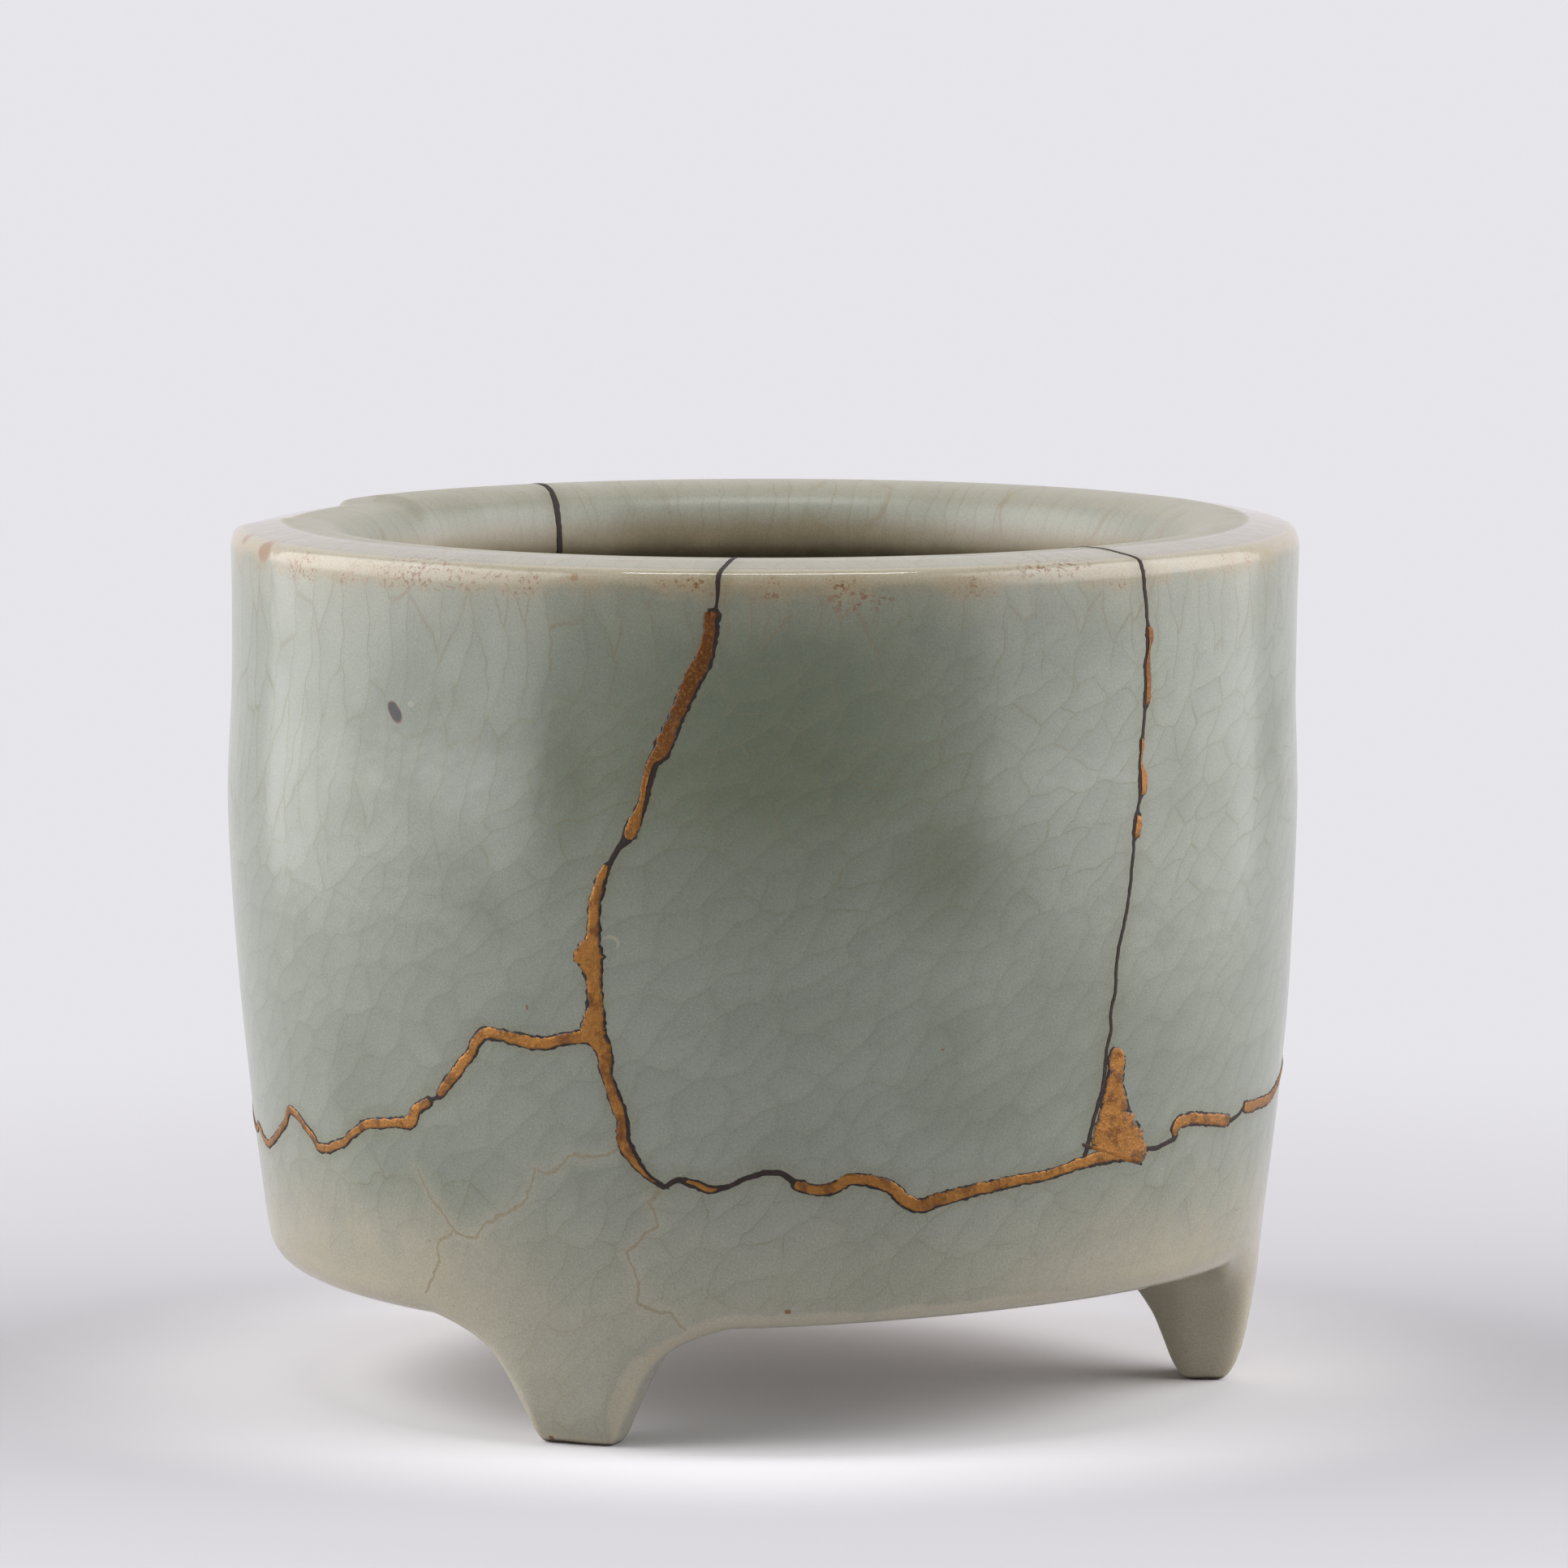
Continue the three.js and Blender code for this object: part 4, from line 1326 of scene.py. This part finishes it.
    # brown hairlines low on the left, and the grey edge along the repairs
    wall = vectorOf(tree, u, z)
    wall = vectorMaths(tree, "ADD", wall, vectorMaths(tree, "MULTIPLY", jitter, (1.6, 1.6, 0.0)))
    tremble = vectorMaths(tree, "SUBTRACT", noiseAt(tree, place, 0.9, 3.0, 0.6, 1), half)
    traced = vectorMaths(tree, "ADD", wall, vectorMaths(tree, "MULTIPLY", tremble, (0.9, 0.9, 0.0)))
    away = distanceToLines(tree, traced, hairlines)
    paint(times(fade(tree, away, 1.5, 0.0), outside, 0.22), "cream")
    paint(times(fade(tree, away, 0.2, 0.07), outside, 0.6), "hairline")
    seamAway = addNode(tree, "ShaderNodeAttribute", attribute_name="seamDistance").outputs["Fac"]
    # darker halo along the repairs: partly lacquer soaked into the glaze, partly painted shadow of the
    # raised seam
    paint(fade(tree, seamAway, 1.8, 0.4, 0.0, 0.3), "line")

    # inside, stained under the lip, with painted shade darkening the inner wall further down
    lipStain = times(within, fade(tree, plus(centred, 2.0, z), 72.8, 70.2))
    paintedInteriorShade = times(within, fade(tree, plus(centred, 3.0, z), 71.0, 67.0))
    paint(times(lipStain, 0.6), "stain")
    # painted shade: the inner wall darkened below the lip with the "inside" colour
    paint(times(paintedInteriorShade, 0.88), "inside")
    sole = fade(tree, plus(patch, 0.6, z), 0.75, 0.45)
    paint(sole, "sole")

    # grain, dark dots and the iron spot
    grainTone = plus(maths(tree, "SUBTRACT", grain, 0.5), 0.5, 1.0)
    colour = mixColour(tree, 1.0, colour, grainTone, "MULTIPLY")
    paint(fade(tree, speck, 0.68, 0.76, 0.0, 0.5), "line")
    wallX, wallY = addNode(tree, "ShaderNodeSeparateXYZ", {0: wall}).outputs[:2]
    spotPlace = (ironSpot["azimuth"], ironSpot["height"])
    spotLook = (ironSpot["soft"], ironSpot["turn"])
    for name, halfSize, share in ironSpot["coats"]:
        mark = ovalMark(tree, wallX, wallY, *spotPlace, *halfSize, *spotLook)
        paint(times(mark, outside, share), name)
    tree.links.new(colour, shader.inputs["Base Color"])

    rough = plus(within, 0.2, plus(sole, 0.5, plus(centred, 0.10, g["roughness"])))
    rough = plus(times(fade(tree, z, 72.6, 73.3), outside), -0.11, rough)
    tree.links.new(rough, shader.inputs["Roughness"])
    swells = noiseAt(tree, place, 0.35, 2.0, 0.5)
    roughen(tree, shader, swells, 0.6, 0.09)
    return material


goldSettings = {
    "gold": (0.270, 0.118, 0.027),
    "bright": (0.430, 0.215, 0.062),
    "rusty": (0.105, 0.036, 0.010),
    "worn": (0.040, 0.020, 0.012),
    "dark": (0.018, 0.011, 0.009),
}


def makeGold():
    material, tree, shader = newMaterial("wornGold")
    g = goldSettings
    place = placeOn(tree)
    z = addNode(tree, "ShaderNodeSeparateXYZ", {0: place}).outputs["Z"]
    edge = addNode(tree, "ShaderNodeAttribute", attribute_name="edge").outputs["Fac"]
    patch = noiseAt(tree, place, 0.7, 3.0, 0.6)
    fine = noiseAt(tree, place, 4.0, 3.0, 0.7)
    rusty = maths(tree, "MAXIMUM", fade(tree, patch, 0.45, 0.65, 0, 0.7), fade(tree, z, 47, 66, 0, 0.9))
    colour = mixColour(tree, rusty, g["gold"], g["rusty"])
    colour = mixColour(tree, fade(tree, fine, 0.5, 0.66, 0, 0.4), colour, g["bright"])
    worn = maths(tree, "MULTIPLY_ADD", patch, 0.5, fine)
    worn = fade(tree, maths(tree, "MULTIPLY_ADD", fade(tree, edge, 0.6, 1.0), 0.20, worn), 0.88, 0.97)
    colour = mixColour(tree, worn, colour, g["worn"])
    tree.links.new(colour, shader.inputs["Base Color"])
    tree.links.new(fade(tree, worn, 0.0, 1.0, 0.8, 0.0), shader.inputs["Metallic"])
    tree.links.new(fade(tree, fine, 0.3, 0.7, 0.36, 0.56), shader.inputs["Roughness"])
    height = maths(tree, "MULTIPLY_ADD", patch, 0.14, maths(tree, "MULTIPLY", fine, 0.07))
    roughen(tree, shader, height, 0.8, 1)
    return material


def makeDarkLacquer():
    material, tree, shader = newMaterial("darkLacquer")
    place = placeOn(tree)
    fine = noiseAt(tree, place, 3.0, 3.0, 0.6)
    colour = mixColour(tree, fade(tree, fine, 0.5, 0.7), goldSettings["dark"], goldSettings["worn"])
    tree.links.new(colour, shader.inputs["Base Color"])
    shader.inputs["Roughness"].default_value = 0.7
    shader.inputs["Specular IOR Level"].default_value = 0.3
    roughen(tree, shader, fine, 0.3, 0.1)
    return material


edgeSettings = {
    "farthest": 5,  # larger distances count as this
    "leastRadius": 39,
    "greatestHeight": 14,
    "outward": (0.4, 0.8),  # how far a rounded edge's normals turn outwards
}


# How far each place is from the nearest of some points.
def distances(places, points):
    tree = KDTree(len(points))
    for i, point in enumerate(points):
        tree.insert(point, i)
    tree.balance()
    return np.minimum([tree.find(place)[2] for place in places], edgeSettings["farthest"])


# The rounded edges round the underside and down the flanks of the feet.
def edgePoints(sherd):
    points = positionsOf(sherd.data) / mm
    normals = np.empty(len(points) * 3, dtype=np.float32)
    sherd.data.vertex_normals.foreach_get("vector", normals)
    normals = normals.reshape(-1, 3)
    radius = np.hypot(points[:, 0], points[:, 1])
    outward = (points[:, :2] * normals[:, :2]).sum(axis=1) / np.maximum(radius, 1)
    least, most = edgeSettings["outward"]
    low = (radius > edgeSettings["leastRadius"]) & (points[:, 2] < edgeSettings["greatestHeight"])
    return points[low & (outward > least) & (outward < most)]


# Tells every vertex how far the nearest repair and the nearest lower edge are, in millimetres.
def markGlaze(sherd, seamLines, lowerEdge):
    repairs = np.vstack([[onCylinder(*row[:3]) for row in line[::2]] for line in seamLines])
    places = positionsOf(sherd.data) / mm
    putAttribute(sherd, "seamDistance", distances(places, repairs))
    putAttribute(sherd, "edgeDistance", distances(places, lowerEdge))


makeCamera()
makeFloor()
makePanels()
makeWorld()
print("stage set")

glaze = makeGlaze()
gold = makeGold()
dark = makeDarkLacquer()

body, profile = makeVessel(glaze)
courses = {name: raggedCourse(table["points"], seed) for seed, (name, table) in enumerate(breaks.items())}
seams, seamLines = makeLacquer(body, profile, courses, gold, dark)
sherds = breakVessel(body, courses)

lowerEdge = edgePoints(sherds["base_sherd_with_feet"])
for name, sherd in sherds.items():
    shadeSmooth(sherd)
    markGlaze(sherd, seamLines, lowerEdge)
    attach(sherd, "root")
    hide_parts(name)
shadeSmooth(seams, 60)
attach(seams, "root")
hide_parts("gold_lacquer_seams")
